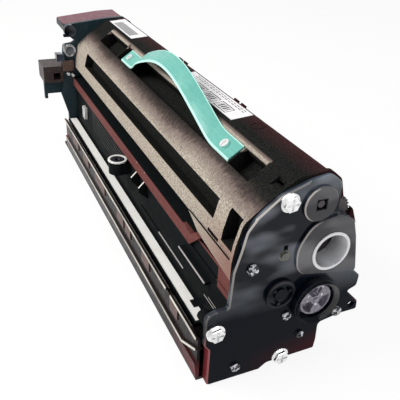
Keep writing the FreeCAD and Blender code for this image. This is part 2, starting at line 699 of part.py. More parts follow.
def top_casing():
    plate_back = PLATE_FACE + PLATE_THICK
    outer = prism(CASE_OUTLINE, plate_back, BODY_LENGTH)
    inner = inset_prism(CASE_OUTLINE, CASE_WALL, plate_back - 1.0, BODY_LENGTH + 1.0)
    shell = outer.cut(inner)
    ring = inset_prism(CASE_OUTLINE, -FLANGE_STEP, plate_back, plate_back + FLANGE_THICK).cut(
        inset_prism(CASE_OUTLINE, CASE_WALL, plate_back - 1.0, plate_back + FLANGE_THICK + 1.0))
    shell = shell.fuse(ring)
    for low, high, depth, start, end in (
            (CASE_SLOPE_LOW, CASE_SLOPE_HIGH, GRIP_DEPTH, GRIP_START, GRIP_END),
            (RECESS_LOW, RECESS_TOP, RECESS_DEPTH, RECESS_START, RECESS_END)):
        lining = prism(pocket(low, high, depth + CASE_WALL, -CASE_WALL), start - CASE_WALL, end + CASE_WALL)
        shell = shell.fuse(lining.common(outer))
        shell = shell.cut(prism(pocket(low, high, depth, 0.0, 6.0), start, end))
    shell = roll_the_edge(shell)
    window_lining = block((WINDOW[0] - CASE_WALL, WINDOW[1] + CASE_WALL),
                          (CASE_OUTLINE[1][0] + 1.0, WINDOW_BACK_Y + CASE_WALL),
                          (WINDOW_Z[0] - CASE_WALL, WINDOW_Z[1] + CASE_WALL))
    shell = shell.fuse(window_lining.common(outer))
    shell = shell.cut(block(WINDOW, (CASE_OUTLINE[0][0] - 8.0, WINDOW_BACK_Y), WINDOW_Z))
    shell = shell.cut(block(SIDE_SLIT, (CASE_OUTLINE[0][0] - 8.0, CASE_OUTLINE[0][0] + 4.0), SIDE_SLIT_Z))
    shell = shell.cut(block(SNAP_NOTCH, SNAP_NOTCH_Y, SNAP_NOTCH_Z))
    trough = tube(WASTE, WASTE_R + WASTE_GAP + TROUGH_WALL, WASTE_R + WASTE_GAP, TROUGH_START, BODY_LENGTH)
    reach = WASTE_R + WASTE_GAP + TROUGH_WALL + 1.0
    trough = trough.cut(block((0.0, BODY_LENGTH + 1.0), (WASTE_Y - reach, WASTE_Y + reach),
                              (WASTE_Z + 2.0, WASTE_Z + reach)))
    web = block((TROUGH_START, BODY_LENGTH), (WASTE_Y - reach - 4.5, WASTE_Y - reach + 1.6),
                (WASTE_Z - 2.0, WASTE_Z))
    shell = shell.fuse(trough).fuse(web)
    rib = prism(pocket(CASE_SLOPE_LOW, CASE_SLOPE_HIGH, GRIP_DEPTH + 0.5, -0.5, -GRIP_RIB_DROP),
                GRIP_RIB_X - GRIP_RIB_THICK / 2.0, GRIP_RIB_X + GRIP_RIB_THICK / 2.0)
    shell = shell.fuse(rib)
    for start in (STRAP_NEAR - STRAP_FOOT - 1.0, STRAP_FAR - 1.0):
        pad = prism(pocket(CASE_SLOPE_LOW, CASE_SLOPE_HIGH, GRIP_DEPTH + 0.5, -0.5),
                    start, start + STRAP_FOOT + 2.0)
        shell = shell.fuse(pad)
    for start, end in ((GRIP_START, LIP_GAP[0]), (LIP_GAP[1], GRIP_END)):
        lip = [on_slope(LIP_START, -1.0), on_slope(LIP_START, LIP_HEIGHT),
               on_slope(LIP_START + LIP_SHARE, LIP_HEIGHT), on_slope(LIP_START + LIP_SHARE * 1.4, -1.0)]
        shell = shell.fuse(prism(lip, start, end))
    ring = deck_rod(DECK_RING[0], DECK_RING[1], DECK_RING_R, -0.5, DECK_RING_HEIGHT)
    ring = ring.cut(deck_rod(DECK_RING[0], DECK_RING[1], DECK_RING_R - DECK_RING_WALL, -1.0, 1.0))
    shell = shell.fuse(ring)
    nub = [on_shoulder(NUB_SHARES[0], -NUB_SINK), on_shoulder(NUB_SHARES[0], NUB_HEIGHT),
           on_shoulder(NUB_SHARES[1], NUB_HEIGHT), on_shoulder(NUB_SHARES[1], -NUB_SINK)]
    for depth in NUBS:
        shell = shell.fuse(prism(nub, depth, depth + NUB_LENGTH))
    bridge = polygon_xz([(BRIDGE_START, CASE_OUTLINE[0][1] + 2.0), (SLOT_NEAR, BRIDGE_NEAR_Z),
                         (plate_back, BRIDGE_PLATE_Z), (plate_back, CASE_OUTLINE[0][1] + 2.0)],
                        CASE_OUTLINE[0][0] - 1.0, CASE_OUTLINE[0][0] + CASE_WALL - 1.0)
    shell = shell.fuse(bridge)
    boss = rod(PLATE_SCREW_TOP, SCREW_BOSS_R, plate_back, SCREW_BOSS_END)
    shell = shell.fuse(boss.common(outer))
    shell = shell.cut(rod(PLATE_SCREW_TOP, SCREW_HOLE_R, plate_back - 1.0, SCREW_BOSS_END - 2.0))
    for depth in (STRAP_SCREW_NEAR, STRAP_SCREW_FAR):
        shell = shell.cut(slope_rod(depth, SCREW_HOLE_R, -STRAP_SCREW_LENGTH - 1.0, 1.0))
    shell = shell.cut(rod(DRUM, DRUM_OPENING_R, 0.0, BODY_LENGTH + 1.0))
    gear_room = pitch_r(DRUM_TEETH) + GEAR_MODULE + GEAR_ROOM
    shell = shell.cut(rod(DRUM, gear_room, 0.0, DRUM_GEAR_PLANE[1] + GEAR_ROOM))
    idler_room = pitch_r(WASTE_IDLER_TEETH) + GEAR_MODULE + GEAR_ROOM
    shell = shell.cut(rod(IDLER, idler_room, 0.0, DRUM_GEAR_PLANE[1] + GEAR_ROOM))
    return shell.removeSplitter()


def slope_rod(depth, radius, low, high):
    """Cylinder standing on the middle of the slope, along its normal, between two heights."""
    foot = on_slope(0.5, low)
    tip = on_slope(0.5, high)
    aim = V(0, tip[0] - foot[0], tip[1] - foot[1])
    return Part.makeCylinder(radius, high - low, V(-depth, foot[0], foot[1]), aim)


def development_housing():
    plate_back = PLATE_FACE + PLATE_THICK
    body = prism(HOUSING_OUTLINE, plate_back, BODY_LENGTH)
    body = body.cut(block((plate_back - 1.0, RIB_START), (RIB_Y - 1.0, HOUSING_LEFT), (-22.0, -10.0)))
    body = body.cut(block((plate_back - 1.0, LEDGE_START), (LEDGE_Y - 1.0, HOUSING_LEFT),
                          (LEDGE_LOW_Z - 2.5, STRIP_Z + 3.0)))
    body = body.cut(prism(GEAR_BAY, plate_back - 1.0, CHAMBER_START))
    body = body.cut(prism(GEAR_BAY, CHAMBER_END + CHAMBER_WALL, BODY_LENGTH + 1.0))
    sleeve_room = pitch_r(SLEEVE_TEETH) + GEAR_MODULE + GEAR_ROOM
    body = body.cut(rod(SLEEVE, sleeve_room, plate_back - 1.0, CHAMBER_START))
    body = body.cut(rod(SLEEVE, sleeve_room, CHAMBER_END + CHAMBER_WALL, BODY_LENGTH + 1.0))
    body = body.cut(prism(HOUSING_VOID, CHAMBER_START - 1.0, BODY_LENGTH + 1.0))
    start = CHAMBER_START + CHAMBER_WALL
    body = body.cut(rod(SLEEVE, SLEEVE_R + CHAMBER_GAP, start, CHAMBER_END))
    for axis in (FEED, RETURN):
        body = body.cut(rod(axis, AUGER_R + CHAMBER_GAP, start, CHAMBER_END))
        for wall in (CHAMBER_START, CHAMBER_END):
            body = body.cut(rod(axis, BEARING_R, wall - 1.0, wall + CHAMBER_WALL + 1.0))
    for wall in (CHAMBER_START, CHAMBER_END):
        body = body.cut(rod(SLEEVE, SLEEVE_BEARING_R, wall - 1.0, wall + CHAMBER_WALL + 1.0))
    body = body.cut(prism(SUPPLY_MOUTH, start, CHAMBER_END))
    for near, far in ((start + 2.0, start + 26.0), (CHAMBER_END - 26.0, CHAMBER_END - 2.0)):
        body = body.cut(prism(TRANSFER_MOUTH, near, far))
    drive_room = pitch_r(DRIVE_TEETH) + GEAR_MODULE + GEAR_ROOM
    body = body.cut(rod(DRIVE, drive_room, plate_back - 1.0, CHAMBER_START + 1.0))
    body = body.cut(rod(DRUM, pitch_r(DRUM_TEETH) + GEAR_MODULE + GEAR_ROOM, 0.0,
                        DRUM_GEAR_PLANE[1] + GEAR_ROOM))
    turn_up = polygon_xz([(RIB_START + 7.0, RIB_LOW_Z), (RIB_START + 7.0, RIB_TOP_Z),
                          (RIB_START - 2.0, RIB_TOP_Z), (SLOT_NEAR, BRIDGE_NEAR_Z - 0.3),
                          (SLOT_NEAR - 7.0, BRIDGE_NEAR_Z - 1.0), (RIB_START, RIB_LOW_Z)],
                         RIB_Y, HOUSING_LEFT + 1.5)
    body = body.fuse(turn_up)
    for depth in GUSSETS:
        body = body.fuse(prism(GUSSET_OUTLINE, depth, depth + GUSSET_THICK))
    body = body.fuse(block(LOW_RIDGE, (HOUSING_LEFT - 0.9, HOUSING_LEFT + 1.0), (-53.4, -52.4)))
    body = body.fuse(block(NEAR_SHELF, (HOUSING_LEFT - 5.0, HOUSING_LEFT + 1.0), (-34.0, -31.5)))
    port = Part.makeCylinder(PORT_R - 0.5, PORT_HEIGHT, V(-PORT_X, PORT_Y, PORT_TOP_Z - PORT_HEIGHT - 1.5))
    web = block((PORT_X - PORT_R + 1.0, PORT_X + PORT_R - 1.0), (PORT_Y, HOUSING_LEFT + 1.0),
                (PORT_TOP_Z - PORT_HEIGHT - 1.5, PORT_TOP_Z - 3.0))
    body = body.fuse(port).fuse(web)
    well = Part.makeCylinder(PORT_BORE_R, PORT_HEIGHT, V(-PORT_X, PORT_Y, PORT_TOP_Z - PORT_HEIGHT + 2.0))
    body = body.cut(well)
    arm = block((plate_back, SCREW_BOSS_END), (PLATE_SCREW_LEFT[0], HOUSING_LEFT + 1.0),
                (PLATE_SCREW_LEFT[1] - 2.0, PLATE_SCREW_LEFT[1] + 2.0))
    body = body.fuse(arm).fuse(rod(PLATE_SCREW_LEFT, SCREW_BOSS_R, plate_back, SCREW_BOSS_END))
    body = body.cut(rod(PLATE_SCREW_LEFT, SCREW_HOLE_R, plate_back - 1.0, SCREW_BOSS_END - 2.0))
    return body.removeSplitter()


def near_end_plate():
    back = PLATE_FACE + PLATE_THICK
    plate = ease_edges(prism(PLATE_OUTLINE, PLATE_FACE, back), -PLATE_FACE, PLATE_BEVEL)
    for boss in (prism(BOSS_OUTLINE, 0.0, PLATE_FACE + 0.5),
                 rod(WASTE, UPPER_BOSS_R, 0.0, PLATE_FACE + 0.5)):
        plate = plate.fuse(ease_edges(boss, 0.0, BOSS_BEVEL))
    skirt = prism(PLATE_OUTLINE, back, SKIRT_END).cut(
        inset_prism(PLATE_OUTLINE, SKIRT_WALL, back - 1.0, SKIRT_END + 1.0))
    skirt = skirt.cut(block((0.0, SKIRT_END + 1.0), (-100.0, 60.0), (SKIRT_TOP_Z, 70.0)))
    skirt = skirt.cut(block((back, SKIRT_END + 1.0), (-100.0, HOUSING_SIDE_Y), (-100.0, 0.0)))
    skirt = skirt.cut(block((back, SKIRT_END + 1.0), (-100.0, 60.0), (-100.0, SKIRT_LOW_Z)))
    skirt = skirt.cut(block((back, SKIRT_END + 1.0), (LUG_START_Y, 60.0), (LUG_LOW_Z, LUG_TOP_Z)))
    left_lip = prism(PLATE_OUTLINE, back, LEFT_LIP_END).cut(
        inset_prism(PLATE_OUTLINE, SKIRT_WALL, back - 1.0, LEFT_LIP_END + 1.0))
    left_lip = left_lip.cut(block((0.0, LEFT_LIP_END + 1.0), (HOUSING_SIDE_Y, 60.0), (-100.0, 70.0)))
    left_lip = left_lip.cut(block((0.0, LEFT_LIP_END + 1.0), (-100.0, 60.0), (-62.0, 70.0)))
    plate = plate.fuse(skirt).fuse(left_lip)
    plate = plate.fuse(tube(DRIVE, CUP_BORE_R + COLLAR_WALL, CUP_BORE_R, back, COLLAR_END))
    plate = plate.fuse(rod(IDLER, IDLER_PIN_R, back, DRUM_GEAR_PLANE[1] + 1.0))
    plate = plate.cut(rod(DRUM, BUSH_R + BUSH_WALL, -1.0, back + 1.0))
    plate = plate.cut(rod(DRIVE, CUP_BORE_R, -1.0, back + 1.0))
    plate = plate.cut(block((-1.0, PLATE_FACE), (WASTE_Y - DRIVE_SQUARE, WASTE_Y + DRIVE_SQUARE),
                            (WASTE_Z - DRIVE_SQUARE, WASTE_Z + DRIVE_SQUARE)))
    plate = plate.cut(rod(WASTE, WASTE_SHAFT_R + RUN_FIT, -1.0, back + 1.0))
    plate = plate.cut(rod(SLEEVE, MAGNET_SHAFT_R, 3.0, back + 1.0))
    plate = plate.cut(rod(FEED, AUGER_SHAFT_R + RUN_FIT, -1.0, back + 1.0))
    plate = plate.cut(rod(HOOK, HOOK_R, PLATE_FACE - 1.0, back + 1.0))
    slot = block((PLATE_FACE - 1.0, back + 1.0), (HOOK[0] - 1.6, HOOK[0] + 1.6), (HOOK[1], HOOK[1] + 8.0))
    plate = plate.cut(slot)
    plate = plate.cut(rod(LUG_HOLE, LUG_HOLE_R, 0.0, back + 1.0))
    for place in PLATE_SCREWS + SMALL_SCREWS:
        plate = plate.cut(rod(place, SCREW_HOLE_R, -1.0, back + 1.0))
    return plate.removeSplitter()


def far_end_frame():
    end = BODY_LENGTH + FAR_FRAME_THICK
    frame = prism(FAR_OUTLINE, BODY_LENGTH, end)
    frame = frame.cut(rod(DRUM, FAR_JOURNAL_R + RUN_FIT, BODY_LENGTH - 1.0, end + 1.0))
    frame = frame.cut(rod(WASTE, WASTE_SHAFT_R + RUN_FIT, BODY_LENGTH - 1.0, end + 1.0))
    frame = frame.cut(rod(SLEEVE, MAGNET_SHAFT_R, BODY_LENGTH - 1.0, end + 1.0))
    for place in FAR_SCREWS:
        frame = frame.cut(rod(place, SCREW_HOLE_R, BODY_LENGTH - 1.0, end + 1.0))
    return frame.removeSplitter()


def base_tray():
    start = PLATE_FACE + PLATE_THICK + 4.0
    top = FLOOR_Z + TRAY_THICK
    tray = block((start, BODY_LENGTH), (TRAY_LEFT, TRAY_RIGHT), (FLOOR_Z, top))
    for y in TRAY_RIBS:
        tray = tray.fuse(block((start, BODY_LENGTH), (y, y + 2.0), (top - 0.5, TRAY_RIB_Z)))
    boss_y, boss_z = PLATE_SCREW_LOW
    start_boss = PLATE_FACE + PLATE_THICK
    tray = tray.fuse(rod(PLATE_SCREW_LOW, SCREW_BOSS_R, start_boss, SCREW_BOSS_END))
    tray = tray.fuse(block((start, SCREW_BOSS_END), (boss_y - 2.0, boss_y + 2.0), (top - 0.5, boss_z)))
    tray = tray.cut(rod(PLATE_SCREW_LOW, SCREW_HOLE_R, start_boss - 1.0, SCREW_BOSS_END - 2.0))
    return tray.removeSplitter()


def lower_guide():
    start = GUIDE_START
    guide = prism(GUIDE_OUTLINE, start, GUIDE_END)
    guide = guide.cut(block(RIB_BREAK, (GUIDE_Y - 2.0, GUIDE_Y + 5.0),
                            (GUIDE_TOP_Z - 3.2, GUIDE_TOP_Z + 2.0)))
    guide = guide.cut(block((0.0, GUIDE_TURN), (GUIDE_Y - 2.0, GUIDE_FACE_Y),
                            (GUIDE_RIB_Z - 1.2, GUIDE_RIB_Z + 2.2)))
    rise = GUIDE_RIB_RISE
    ridge = polygon_xz([(GUIDE_TURN, GUIDE_RIB_Z + 1.5), (GUIDE_TURN, GUIDE_RIB_Z - 0.5),
                        (start, GUIDE_RIB_Z + rise - 2.0), (start, GUIDE_RIB_Z + rise)],
                       GUIDE_Y - 0.6, GUIDE_FACE_Y + 0.5)
    return guide.fuse(ridge).removeSplitter()


def guide_pads():
    """Row of thin pads; each place is a share of the guide's run."""
    pads = []
    for share, length in GUIDE_PADS:
        middle = GUIDE_START + share * (GUIDE_END - GUIDE_START)
        pads.append(block((middle - length / 2.0, middle + length / 2.0),
                          (GUIDE_FACE_Y - PAD_THICK, GUIDE_FACE_Y), PAD_Z))
    return group(pads)


def blade_strip():
    strip = block((STRIP_START, BODY_LENGTH - 2.0), STRIP_Y, (STRIP_Z - STRIP_THICK, STRIP_Z))
    return strip.cut(block(STRIP_NOTCH, (STRIP_Y[1] - STRIP_NOTCH_DEPTH, STRIP_Y[1] + 1.0),
                           (STRIP_Z - 2.0, STRIP_Z + 1.0)))


def strap_curve(lift):
    """Side view of the strap: foot, arch and foot, through a few points of its rise."""
    span = STRAP_FAR - STRAP_NEAR
    marks = [V(-(STRAP_NEAR + share * span), 0, rise * STRAP_RISE + lift) for share, rise in STRAP_SHAPE]
    curve = Part.BSplineCurve()
    curve.interpolate(Points=marks, InitialTangent=V(-1, 0, 0), FinalTangent=V(-1, 0, 0))
    first = Part.makeLine(V(-(STRAP_NEAR - STRAP_FOOT), 0, lift), marks[0])
    last = Part.makeLine(marks[-1], V(-(STRAP_FAR + STRAP_FOOT), 0, lift))
    return [first, curve.toShape(), last]


def carrying_strap():
    lower = strap_curve(0.0)
    upper = strap_curve(STRAP_THICK)
    ends = []
    for x in (-(STRAP_NEAR - STRAP_FOOT), -(STRAP_FAR + STRAP_FOOT)):
        ends.append(Part.makeLine(V(x, 0, 0), V(x, 0, STRAP_THICK)))
    edges = Part.sortEdges(lower + upper + ends)[0]
    side = Part.Face(Part.Wire(edges))
    low = on_slope(STRAP_EDGE)
    high = on_slope(STRAP_EDGE + STRAP_WIDTH / SLOPE_RUN)
    side.translate(V(0, low[0], low[1]))
    strap = side.extrude(V(0, high[0] - low[0], high[1] - low[1]))
    for depth in (STRAP_SCREW_NEAR, STRAP_SCREW_FAR):
        strap = strap.cut(slope_rod(depth, SCREW_HOLE_R, -3.0, 6.0))
    return strap


def cross_head(screw, place, aim, size, depth):
    """Cut a cross recess in a screw head."""
    for turn in (0.0, 90.0):
        bar = Part.makeBox(size * 1.3, size * 0.24, depth, V(-size * 0.65, -size * 0.12, 0))
        bar.rotate(V(0, 0, 0), V(0, 0, 1), turn)
        stand = FreeCAD.Placement(V(0, 0, 0), FreeCAD.Rotation(V(0, 0, 1), aim))
        bar.Placement = stand.multiply(bar.Placement)
        bar.translate(place - aim * (depth - 0.01))
        screw = screw.cut(bar)
    return screw


def strap_screws():
    screws = []
    for depth in (STRAP_SCREW_NEAR, STRAP_SCREW_FAR):
        seat = STRAP_SEAT
        screw = slope_rod(depth, SMALL_HEAD_R, seat, seat + 2.2)
        screw = screw.fuse(slope_rod(depth, SCREW_HOLE_R - 0.1, -STRAP_SCREW_LENGTH, seat + 0.5))
        top = on_slope(0.5, seat + 2.2)
        foot = on_slope(0.5, seat)
        aim = V(0, top[0] - foot[0], top[1] - foot[1])
        aim.normalize()
        screws.append(cross_head(screw, V(-depth, top[0], top[1]), aim, SMALL_HEAD_R, 1.2))
    return group(screws)


def plate_screws():
    screws = []
    for place in PLATE_SCREWS:
        flange = rod(place, BIG_HEAD_R, PLATE_FACE - BIG_FLANGE, PLATE_FACE)
        ring = [along(place[0], place[1], 60.0 * k + 10.0, BIG_HEAD_R * 0.86) for k in range(6)]
        head = ease_edges(prism(ring, PLATE_FACE - BIG_HEAD_HEIGHT, PLATE_FACE),
                           BIG_HEAD_HEIGHT - PLATE_FACE, HEAD_BEVEL)
        shank = rod(place, SCREW_HOLE_R - 0.1, PLATE_FACE - 0.5, SCREW_BOSS_END - 3.0)
        screw = flange.fuse(head).fuse(shank)
        top = V(BIG_HEAD_HEIGHT - PLATE_FACE, place[0], place[1])
        screws.append(cross_head(screw, top, V(1, 0, 0), BIG_HEAD_R, 1.6))
    return group(screws)


def small_screws():
    screws = []
    for place, radius in zip(SMALL_SCREWS, SMALL_SCREW_HEADS):
        head = ease_edges(rod(place, radius, PLATE_FACE - SMALL_HEAD_HEIGHT, PLATE_FACE),
                           SMALL_HEAD_HEIGHT - PLATE_FACE, HEAD_BEVEL)
        shank = rod(place, SCREW_HOLE_R - 0.1, PLATE_FACE - 0.5, PLATE_FACE + PLATE_THICK - 0.3)
        top = V(SMALL_HEAD_HEIGHT - PLATE_FACE, place[0], place[1])
        screws.append(cross_head(head.fuse(shank), top, V(1, 0, 0), radius, 1.0))
    return group(screws)


def drum_bush():
    bush = rod(DRUM, BUSH_R + BUSH_WALL, -BUSH_RIM, BUSH_LENGTH)
    bush = bush.fuse(rod(DRUM, BUSH_R + BUSH_WALL + BUSH_RIM, -BUSH_RIM, 0.0))
    for angle in RIM_NOTCHES:
        bush = bush.cut(rod(along(DRUM[0], DRUM[1], angle, BUSH_R), RIM_NOTCH_R, -2.0, RIM_NOTCH_R))
    return bush.cut(rod(DRUM, BUSH_R, -2.0, BUSH_LENGTH + 1.0))


def drum_tube():
    return tube(DRUM, DRUM_R, DRUM_R - DRUM_WALL, DRUM_START, DRUM_END)


def drum_near_flange():
    collar = DRUM_GEAR_PLANE[0]
    toothed = gear(DRUM, DRUM_TEETH, DRUM_GEAR_PLANE)
    hub = rod(DRUM, DRUM_R - 0.4, DRUM_GEAR_PLANE[1], DRUM_START)
    spigot = rod(DRUM, DRUM_R - DRUM_WALL, DRUM_START, DRUM_START + 12.0)
    flange = toothed.fuse(hub).fuse(spigot)
    flange = flange.cut(rod(DRUM, BUSH_R + BUSH_WALL + RUN_FIT, collar - 1.0, BUSH_LENGTH + SIDE_PLAY))
    return flange.cut(rod(DRUM, DRUM_SOCKET_R, collar, DRUM_START + 13.0)).removeSplitter()


def drum_far_flange():
    spigot = rod(DRUM, DRUM_R - DRUM_WALL, DRUM_END - 12.0, DRUM_END)
    rim = rod(DRUM, DRUM_R, DRUM_END, DRUM_END + 4.0)
    collar = rod(DRUM, FAR_COLLAR_R, DRUM_END + 3.0, BODY_LENGTH - SIDE_PLAY)
    journal = rod(DRUM, FAR_JOURNAL_R, DRUM_END, BODY_LENGTH + FAR_FRAME_THICK + 2.0)
    return join(spigot, rim, collar, journal)


def charge_roller_shaft():
    return rod(CHARGE, CHARGE_SHAFT_R, CHARGE_BEARING_NEAR - 1.0,
               CHARGE_BEARING_FAR + 1.0 + BEARING_LENGTH)


def charge_roller_sleeve():
    return tube(CHARGE, CHARGE_R, CHARGE_SHAFT_R, CHARGE_START, CHARGE_END)


def charge_cleaning_roller():
    return tube(CLEANER, CHARGE_CLEANER_R, CHARGE_CLEANER_SHAFT_R, CHARGE_START, CHARGE_END)


def charge_cleaning_shaft():
    return rod(CLEANER, CHARGE_CLEANER_SHAFT_R, CHARGE_BEARING_NEAR - 1.0,
               CHARGE_BEARING_FAR + 1.0 + BEARING_LENGTH)


def charge_bearings():
    """One block at each end carries both the charge roller and its cleaning roller."""
    blocks = []
    reach = CHARGE_SHAFT_R + 1.6
    for start in (CHARGE_BEARING_NEAR, CHARGE_BEARING_FAR):
        end = start + BEARING_LENGTH
        body = rod(CHARGE, reach, start, end).fuse(rod(CLEANER, CHARGE_CLEANER_SHAFT_R + 1.8, start, end))
        bar = [along(CHARGE[0], CHARGE[1], CHARGE_ANGLE + side, 3.0) for side in (-90.0, 90.0)]
        bar += [along(CLEANER[0], CLEANER[1], CHARGE_ANGLE + side, 3.0) for side in (90.0, -90.0)]
        body = body.fuse(prism(bar, start, end))
        body = body.cut(rod(CHARGE, CHARGE_SHAFT_R + RUN_FIT, start - 1.0, end + 1.0))
        body = body.cut(rod(CLEANER, CHARGE_CLEANER_SHAFT_R + RUN_FIT, start - 1.0, end + 1.0))
        blocks.append(body.removeSplitter())
    return group(blocks)


def charge_holder():
    """Bent channel over the charging rollers, with a cheek at each end for the bearing springs."""
    holder = prism(HOLDER_OUTLINE, HOLDER_START, BODY_LENGTH)
    far_point = along(CLEANER[0], CLEANER[1], CHARGE_ANGLE, SPRING_SEAT)
    for start in (CHARGE_BEARING_NEAR, CHARGE_BEARING_FAR):
        sides = [along(far_point[0], far_point[1], CHARGE_ANGLE + side, 2.6) for side in (90.0, -90.0)]
        cheek = [sides[0], sides[1]] + [along(sides[1][0], sides[1][1], CHARGE_ANGLE, 3.0),
                                        along(sides[0][0], sides[0][1], CHARGE_ANGLE, 3.0)]
        holder = holder.fuse(prism(cheek, start, start + BEARING_LENGTH))
    return holder.removeSplitter()


def charge_springs():
    springs = []
    start = along(CLEANER[0], CLEANER[1], CHARGE_ANGLE, CHARGE_CLEANER_SHAFT_R + 1.8)
    length = SPRING_SEAT - CHARGE_CLEANER_SHAFT_R - 1.8
    aim = V(0, math.cos(math.radians(CHARGE_ANGLE)), math.sin(math.radians(CHARGE_ANGLE)))
    turn = FreeCAD.Rotation(V(0, 0, 1), aim)
    for depth in (CHARGE_BEARING_NEAR, CHARGE_BEARING_FAR):
        helix = Part.makeHelix(SPRING_PITCH, length - 2.0 * SPRING_WIRE, SPRING_R)
        corners = [along(SPRING_R, 0.0, 45.0 * k + 22.5, SPRING_WIRE) for k in range(9)]
        section = Part.makePolygon([V(across, 0, up) for across, up in corners])
        spring = helix.makePipeShell([section], True, True)
        middle = V(-(depth + BEARING_LENGTH / 2.0), start[0], start[1]) + aim * SPRING_WIRE
        spring.Placement = FreeCAD.Placement(middle, turn)
        springs.append(spring)
    return group(springs)


def blade_frame(across, up):
    """Point beside the cleaning blade, measured across it and up from its tip."""
    lean = math.radians(BLADE_LEAN)
    return (BLADE_TIP[0] + across * math.cos(lean) - up * math.sin(lean),
            BLADE_TIP[1] + across * math.sin(lean) + up * math.cos(lean))


def cleaning_blade():
    outline = [blade_frame(0.0, 0.0), blade_frame(BLADE_THICK, 0.6), blade_frame(BLADE_THICK, BLADE_HEIGHT),
               blade_frame(0.0, BLADE_HEIGHT)]
    return prism(outline, CHARGE_START, CHARGE_END)


def cleaning_blade_bracket():
    """Folded steel sheet: an upright behind the blade and a flange against the casing's right wall."""
    outline = [blade_frame(0.0, 4.0), blade_frame(0.0, BRACKET_HEIGHT - SHEET),
               blade_frame(BRACKET_FLANGE, BRACKET_HEIGHT - SHEET),
               blade_frame(BRACKET_FLANGE, BRACKET_HEIGHT), blade_frame(-SHEET, BRACKET_HEIGHT),
               blade_frame(-SHEET, 4.0)]
    return prism(outline, DRUM_GEAR_PLANE[1] + 2.0, BODY_LENGTH)


def waste_coil():
    shaft = rod(WASTE, WASTE_SHAFT_R, 1.0, BODY_LENGTH + 4.0)
    blade = auger(WASTE, WASTE_R, WASTE_SHAFT_R, WASTE_PITCH, TROUGH_START + 4.0, BODY_LENGTH - 8.0)
    return shaft.fuse(blade)


def spur(axis, teeth, plane, bore, phase):
    wheel = gear(axis, teeth, plane, phase)
    return wheel.cut(rod(axis, bore, plane[0] - 1.0, plane[1] + 1.0))


def mesh_phase(teeth, angle, mate_teeth, mate_phase, mate_angle):
    """Phase that puts a gap of this gear where the mate has a tooth, along the line between them."""
    mate_turn = (mate_angle / 360.0) * mate_teeth - mate_phase
    offset = mate_turn - math.floor(mate_turn)
    here = (angle / 360.0) * teeth
    return here + offset + 0.5


def angle_to(start, end):
    return math.degrees(math.atan2(end[1] - start[1], end[0] - start[0]))


def phase_from(axis, teeth, mate_axis, mate_teeth, mate_phase):
    return mesh_phase(teeth, angle_to(axis, mate_axis), mate_teeth, mate_phase, angle_to(mate_axis, axis))


IDLER_PHASE = phase_from(IDLER, WASTE_IDLER_TEETH, DRUM, DRUM_TEETH, 0.0)
WASTE_PHASE = phase_from(WASTE, WASTE_TEETH, IDLER, WASTE_IDLER_TEETH, IDLER_PHASE)
SLEEVE_PHASE = phase_from(SLEEVE, SLEEVE_TEETH, DRIVE, DRIVE_TEETH, 0.0)
FEED_PHASE = phase_from(FEED, FEED_TEETH, SLEEVE, SLEEVE_TEETH, SLEEVE_PHASE)
RETURN_PHASE = phase_from(RETURN, RETURN_TEETH, FEED, FEED_TEETH, FEED_PHASE)


def waste_plane():
    return (DRUM_GEAR_PLANE[0], DRUM_GEAR_PLANE[1] - 1.0)


def sleeve_caps():
    """End caps of the developing sleeve, each with a hollow stub around the magnet shaft."""
    near = rod(SLEEVE, SLEEVE_R, SLEEVE_START - CAP_THICK, SLEEVE_START)
    near = near.fuse(rod(SLEEVE, SLEEVE_R - SLEEVE_WALL, SLEEVE_START, SLEEVE_START + 2.0))
    near = near.fuse(rod(SLEEVE, STUB_R, DEV_GEAR_PLANE[0] - 1.0, SLEEVE_START))
    far = rod(SLEEVE, SLEEVE_R, SLEEVE_END, SLEEVE_END + CAP_THICK)
    far = far.fuse(rod(SLEEVE, SLEEVE_R - SLEEVE_WALL, SLEEVE_END - 2.0, SLEEVE_END))
    far = far.fuse(rod(SLEEVE, STUB_R, SLEEVE_END, CHAMBER_END + CHAMBER_WALL + 2.0))
    caps = []
    for cap in (near, far):
        caps.append(cap.cut(rod(SLEEVE, MAGNET_SHAFT_R + RUN_FIT, 0.0, BODY_LENGTH)).removeSplitter())
    return group(caps)


def magnet_roller():
    shaft = rod(SLEEVE, MAGNET_SHAFT_R, 3.0, BODY_LENGTH + FAR_FRAME_THICK - 1.0)
    return shaft.fuse(rod(SLEEVE, MAGNET_R, SLEEVE_START + 3.0, SLEEVE_END - 3.0))


def sleeve_bearings():
    rings = []
    for wall in (CHAMBER_START, CHAMBER_END):
        rings.append(tube(SLEEVE, SLEEVE_BEARING_R, STUB_R + RUN_FIT, wall, wall + CHAMBER_WALL))
    return group(rings)


def auger_bearings():
    rings = []
    for axis in (FEED, RETURN):
        for wall in (CHAMBER_START, CHAMBER_END):
            rings.append(tube(axis, BEARING_R, AUGER_SHAFT_R + RUN_FIT, wall, wall + CHAMBER_WALL))
    return group(rings)


def mixing_auger(axis, shaft_start):
    shaft = rod(axis, AUGER_SHAFT_R, shaft_start, CHAMBER_END + CHAMBER_WALL + 2.0)
    start = CHAMBER_START + CHAMBER_WALL + SIDE_PLAY
    blade = auger(axis, AUGER_R, AUGER_SHAFT_R, AUGER_PITCH, start, CHAMBER_END - SIDE_PLAY)
    return shaft.fuse(blade)


def doctor_blade():
    top = DOCTOR_Z + DOCTOR_THICK
    outline = [(DOCTOR_Y - DOCTOR_REACH, DOCTOR_Z), (DOCTOR_Y, DOCTOR_Z), (DOCTOR_Y, DOCTOR_TIP_Z),
               (DOCTOR_Y + DOCTOR_THICK, DOCTOR_TIP_Z), (DOCTOR_Y + DOCTOR_THICK, top),
               (DOCTOR_Y - DOCTOR_REACH, top)]
    return prism(outline, SLEEVE_START, SLEEVE_END)


